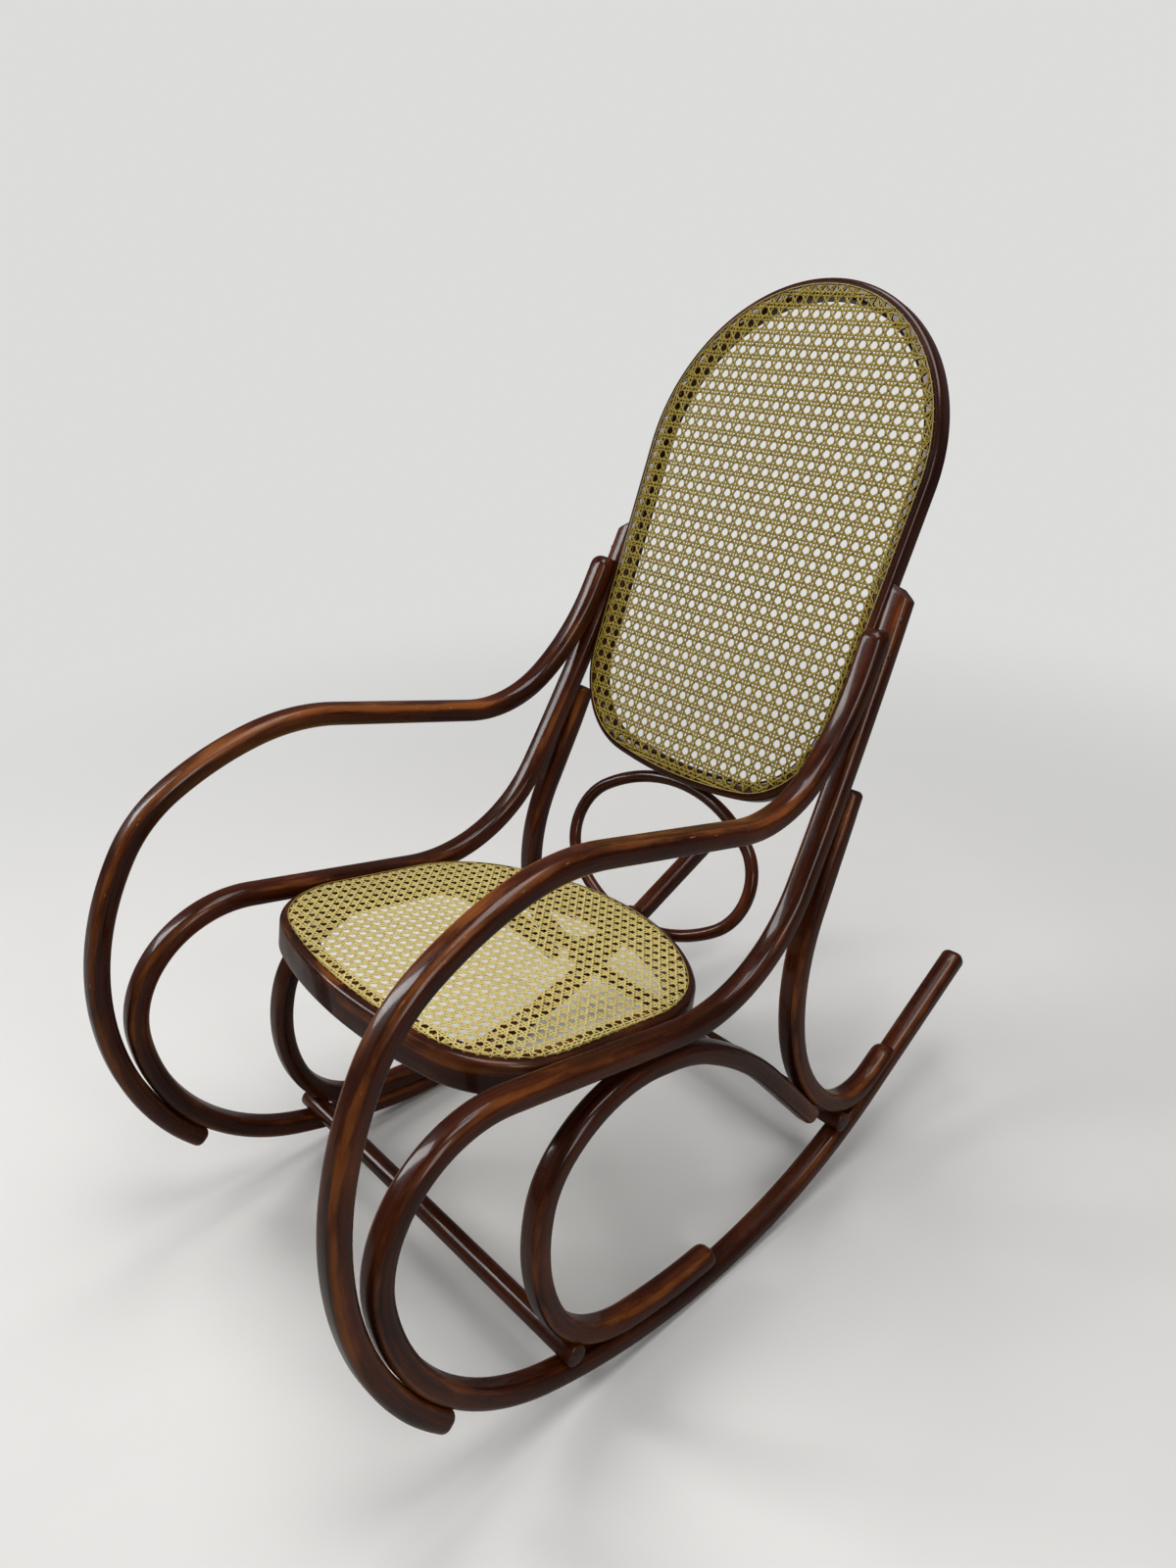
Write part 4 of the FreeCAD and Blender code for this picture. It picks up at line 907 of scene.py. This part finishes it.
def square_beats(pitch, turned_over):
    """Over one strand of each crossing pair, under the other, level where the slanted strands pass."""
    rise = SQUARE_RISE * turned_over

    def beats(first, last):
        for cell in range(math.floor(first / pitch) - 1, math.ceil(last / pitch) + 1):
            yield (cell - APART) * pitch, rise
            yield (cell + APART) * pitch, -rise
            yield (cell + 0.5) * pitch, 0.0
    return beats


def slant_beats(pitch, base, over_first):
    """Over each level pair and under each upright pair, or the other way round."""
    step = pitch / math.sqrt(2)
    reach = (APART + WIDE / 2) * pitch * math.sqrt(2)

    def beats(first, last):
        count = math.floor((first - base) / step) - 1
        while base + count * step < last + step:
            rise = SLANT_RISE if (count % 2 == 0) == over_first else -SLANT_RISE
            yield base + count * step - reach, rise
            yield base + count * step + reach, rise
            count += 1
    return beats


# %% [markdown]
# Now the sheets are woven. Lines of the square lattice lie a pitch apart, and the slanted lines meet
# them half way between its nodes. The four families of strands are pieces of their own, and each gets
# its thickness from one Solidify step. The holes lie a pitch apart round the ring, too.

# %% Weave the seat and the back
SEAT_PITCH, SEAT_HOLES = 12.9, 9.0  # and how far the row of holes is from the ring's outer edge
BACK_PITCH, BACK_HOLES = 15.25, 8.5


def outline(half, inset):
    start, bends = inside(half, inset)
    return [point for _, point, _ in centre_line(start, bends, 2.0)]


def evenly(points, gap):
    """Hole places at equal steps round a closed outline, the first at its start."""
    lengths = lengths_along(points)
    count = round(lengths[-1] / gap)
    places, k = [], 0
    for n in range(count):
        target = lengths[-1] * n / count
        while lengths[k + 1] < target:
            k += 1
        places.append(points[k].lerp(points[k + 1], (target - lengths[k]) / (lengths[k + 1] - lengths[k])))
    return places


def cane_family(name, finish, plane, node, width, paths):
    bm = bmesh.new()
    bm.verts.layers.float_vector.new("fibre")
    for points in paths:
        ribbon(bm, points, width, rng.random(), DOME, PINCH)
    for face in bm.faces:
        face.normal_update()
    bmesh.ops.reverse_faces(bm, faces=[face for face in bm.faces if face.normal.x < 0])
    place(bm, plane)
    piece = new_piece(name, bm, finish, node, sharp=180, closed=False)
    thick = piece.modifiers.new("Thickness", "SOLIDIFY")
    thick.thickness, thick.offset = THICK * METRES, -1.0
    print(name, len(paths), "strands,", len(piece.data.polygons), "faces")


def weave(node, half, inset, plane, finish, pitch):
    """Weaves one sheet, family by family, and returns the places of its holes."""
    border = outline(half, inset)
    holes = evenly(border, pitch)
    up, over = Vector((0, 0, 1)), Vector((0, 1, 0))
    across_count = math.ceil(max(point.y for point in border) / pitch)
    up_count = math.ceil(max(point.z for point in border) / pitch)
    families = {"uprights": [], "levels": [], "rising": [], "falling": []}
    for family, direction, beside, cells, first_over in (
            ("uprights", up, over, range(-across_count, across_count + 1), 1),
            ("levels", over, up, range(up_count + 1), -1)):
        for cell in cells:
            for side in (-1, 1):
                origin = beside * (cell + side * APART) * pitch
                families[family].append((origin, direction, square_beats(pitch, -side * first_over)))
    for family, direction, over_first in (("rising", up + over, True), ("falling", up - over, False)):
        for k in range(-across_count - 1, up_count + across_count + 1):
            shift = (k + 0.5) * pitch
            beats = slant_beats(pitch, -shift * math.sqrt(2), over_first)
            families[family].append((up * shift, direction.normalized(), beats))
    for family, lines in families.items():
        paths = [strand_path(border, holes, pitch, *line) for line in lines]
        cane_family(f"{node}_{family}", finish, plane, node, WIDE * pitch, [path for path in paths if path])
    return holes


BACK_FACE = BACK @ Matrix.Translation((BACK_TALL / 2, 0, 0))
seat_holes = weave("seat_cane", SEAT_HALF, SEAT_HOLES, SEAT, seat_strands, SEAT_PITCH)
# The back's strands take the darker finish, which paints the back's shade into the cane's colour.
back_holes = weave("back_cane", BACK_HALF, BACK_HOLES, BACK_FACE, back_strands_painted_shade, BACK_PITCH)

# %% [markdown]
# A thin strip of cane lies over the row of holes and hides the strands' ends. A finer strand ties it
# down at each hole, and shows as a row of small loops. The strip is swept like a ring, and each loop
# is a ribbon over an arch of five points, a little off its hole, as a hand leaves it.

# %% Border strips and their small loops
STRIP_THICK, STRIP_WIDE, STRIP_CORNER, STRIP_TONE = 0.7, 1.0, 0.3, 0.35
ARCH = [(-1.1, -1.1), (-0.7, 0.2), (0.0, 0.4), (0.7, 0.2), (1.1, -1.1)]  # across the strip, and up
ARCH_WIDE, ARCH_DOME, ARCH_STRAY = 0.9, 0.15, 0.5


def border_strip(name, node, half, inset, plane, holes, level):
    start, bends = inside(half, inset)
    bm = bmesh.new()
    fibre = bm.verts.layers.float_vector.new("fibre")
    first = section_edges(bm, start, STRIP_THICK, STRIP_WIDE, STRIP_CORNER, 12)
    sweep_section(bm, first, start, bends, RING_PACE)
    bmesh.ops.remove_doubles(bm, verts=bm.verts[:], dist=0.02)
    bmesh.ops.recalc_face_normals(bm, faces=bm.faces[:])
    bmesh.ops.translate(bm, verts=bm.verts[:], vec=OUT * level)
    line = centre_line(start, bends)
    tree = nearest_on(line)
    for v in bm.verts:
        _, k, _ = tree.find(Vector((0, v.co.y, v.co.z)))
        along, point, heading = line[k]
        v[fibre] = (along * METRES, (v.co - point).dot(forward(heading + 90)) * METRES, STRIP_TONE)
    for hole in holes:
        _, k, _ = tree.find(hole)
        _, point, heading = line[k]
        middle = point + forward(heading) * rng.uniform(-ARCH_STRAY, ARCH_STRAY) + OUT * level
        points = [middle + forward(heading + 90) * aside + OUT * rise for aside, rise in ARCH]
        before = set(bm.faces)
        ribbon(bm, points, ARCH_WIDE, rng.random(), ARCH_DOME)
        fresh = [face for face in bm.faces if face not in before]
        for face in fresh:
            face.normal_update()
        if sum(face.normal.x for face in fresh) < 0:
            bmesh.ops.reverse_faces(bm, faces=fresh)
    place(bm, plane)
    piece = new_piece(name, bm, border_strand, node, sharp=180, closed=False)
    print(name, len(holes), "loops,", len(piece.data.polygons), "faces")


border_strip("seat_border", "seat_binder", SEAT_HALF, SEAT_HOLES, SEAT, seat_holes, level=1.9)
border_strip("back_border", "back_binder", BACK_HALF, BACK_HOLES, BACK_FACE, back_holes, level=1.7)

# %% [markdown]
# The camera stands where the photograph was taken from, a little over a metre above the floor beside
# the chair's front corner, and looks down at it.

# %% Camera
CAMERA_PLACE = Vector((900.0, -730.0, 1091.0))
CAMERA_RIGHT, CAMERA_DOWN = Vector((0.663, 0.748, -0.0155)), Vector((0.311, -0.294, -0.904))
LENS, SENSOR = 27.13, 36.0

look = CAMERA_RIGHT.cross(CAMERA_DOWN).normalized()
right = CAMERA_RIGHT.normalized()
down = look.cross(right).normalized()
camera_turn = REST.to_3x3() @ Matrix((right, -down, -look)).transposed()
camera_data = bpy.data.cameras.new("Camera")
camera_data.lens, camera_data.sensor_width, camera_data.sensor_fit = LENS, SENSOR, "AUTO"
camera_data.clip_start = 0.01
camera_data.dof.use_dof = False
camera = bpy.data.objects.new("Camera", camera_data)
camera.matrix_world = Matrix.Translation((MM @ REST @ CAMERA_PLACE).to_3d()) @ camera_turn.to_4x4()
bpy.context.scene.collection.objects.link(camera)
bpy.context.scene.camera = camera
print("camera at", [round(v, 3) for v in camera.matrix_world.translation])

# %% [markdown]
# The chair stands on a pale floor that keeps its shadow. Away from the chair, and only for the
# camera, the floor fades into a plain glow of the background's colour. The light it throws back on
# the chair comes from a darker grey, and so does the world's, or the dark stain would look washed
# out. Soft light comes from large panels: a wide one overhead, one at the front left as from a
# window, and a weaker one for the near side.

# %% Floor and light
PALE_FLOOR, GREY_FLOOR = (0.72, 0.71, 0.69), (0.33, 0.32, 0.30)
BACKGROUND, GREY_ROOM = (0.72, 0.72, 0.71), (0.11, 0.113, 0.118)
FLOOR_RADIUS, FADE_START, FADE_END = 40.0, 0.75, 2.3


def floor_finish():
    material, tree, shader = new_finish("Pale_floor")
    where = object_place(tree)
    pale = blend_colour(tree, noise(tree, where, 9.0, 3.0), PALE_FLOOR, [part * 0.97 for part in PALE_FLOOR])
    distance = add(tree, "ShaderNodeVectorMath", [(0, where)], operation="LENGTH").outputs["Value"]
    seen = add(tree, "ShaderNodeLightPath").outputs["Is Camera Ray"]
    fade = sums(tree, "MULTIPLY", between(tree, distance, FADE_START, FADE_END), seen)
    colour = blend_colour(tree, fade, blend_colour(tree, seen, GREY_FLOOR, pale), (0, 0, 0))
    gloss = sums(tree, "MULTIPLY", sums(tree, "SUBTRACT", 1.0, fade), 0.4)
    for key, output in (("Base Color", colour), ("Emission Strength", fade), ("Specular IOR Level", gloss)):
        tree.links.new(output, shader.inputs[key])
    shader.inputs["Emission Color"].default_value = (*BACKGROUND, 1)
    shader.inputs["Roughness"].default_value = 0.65
    return material


def soft_panel(name, place_at, aim_at, wide, deep, power):
    light_data = bpy.data.lights.new(name, "AREA")
    light_data.shape, light_data.size, light_data.size_y = "RECTANGLE", wide, deep
    light_data.energy = power
    light = bpy.data.objects.new(name, light_data)
    light.location = place_at
    light.rotation_euler = (Vector(aim_at) - Vector(place_at)).to_track_quat("-Z", "Y").to_euler()
    bpy.context.scene.collection.objects.link(light)
    print(name, power, "watts")


bm = bmesh.new()
bmesh.ops.create_circle(bm, cap_ends=True, segments=64, radius=FLOOR_RADIUS)
floor_mesh = bpy.data.meshes.new("floor")
bm.to_mesh(floor_mesh)
bm.free()
floor_mesh.materials.append(floor_finish())
floor = bpy.data.objects.new("floor", floor_mesh)
bpy.context.scene.collection.objects.link(floor)

world = bpy.data.worlds.new("Studio")
bpy.context.scene.world = world
world.use_nodes = True
background = world.node_tree.nodes["Background"]
seen = add(world.node_tree, "ShaderNodeLightPath").outputs["Is Camera Ray"]
world.node_tree.links.new(blend_colour(world.node_tree, seen, GREY_ROOM, BACKGROUND),
                          background.inputs["Color"])
background.inputs["Strength"].default_value = 1.0

soft_panel("overhead", (0.1, 0.2, 3.0), (0, 0, 0.4), 2.2, 1.2, 62)
soft_panel("window_side", (-2.0, -1.5, 2.2), (0, 0, 0.45), 0.7, 1.7, 48)
soft_panel("near_side", (2.2, -0.6, 1.6), (0, 0, 0.5), 0.6, 1.4, 18)
bpy.context.scene.view_settings.view_transform = "Standard"
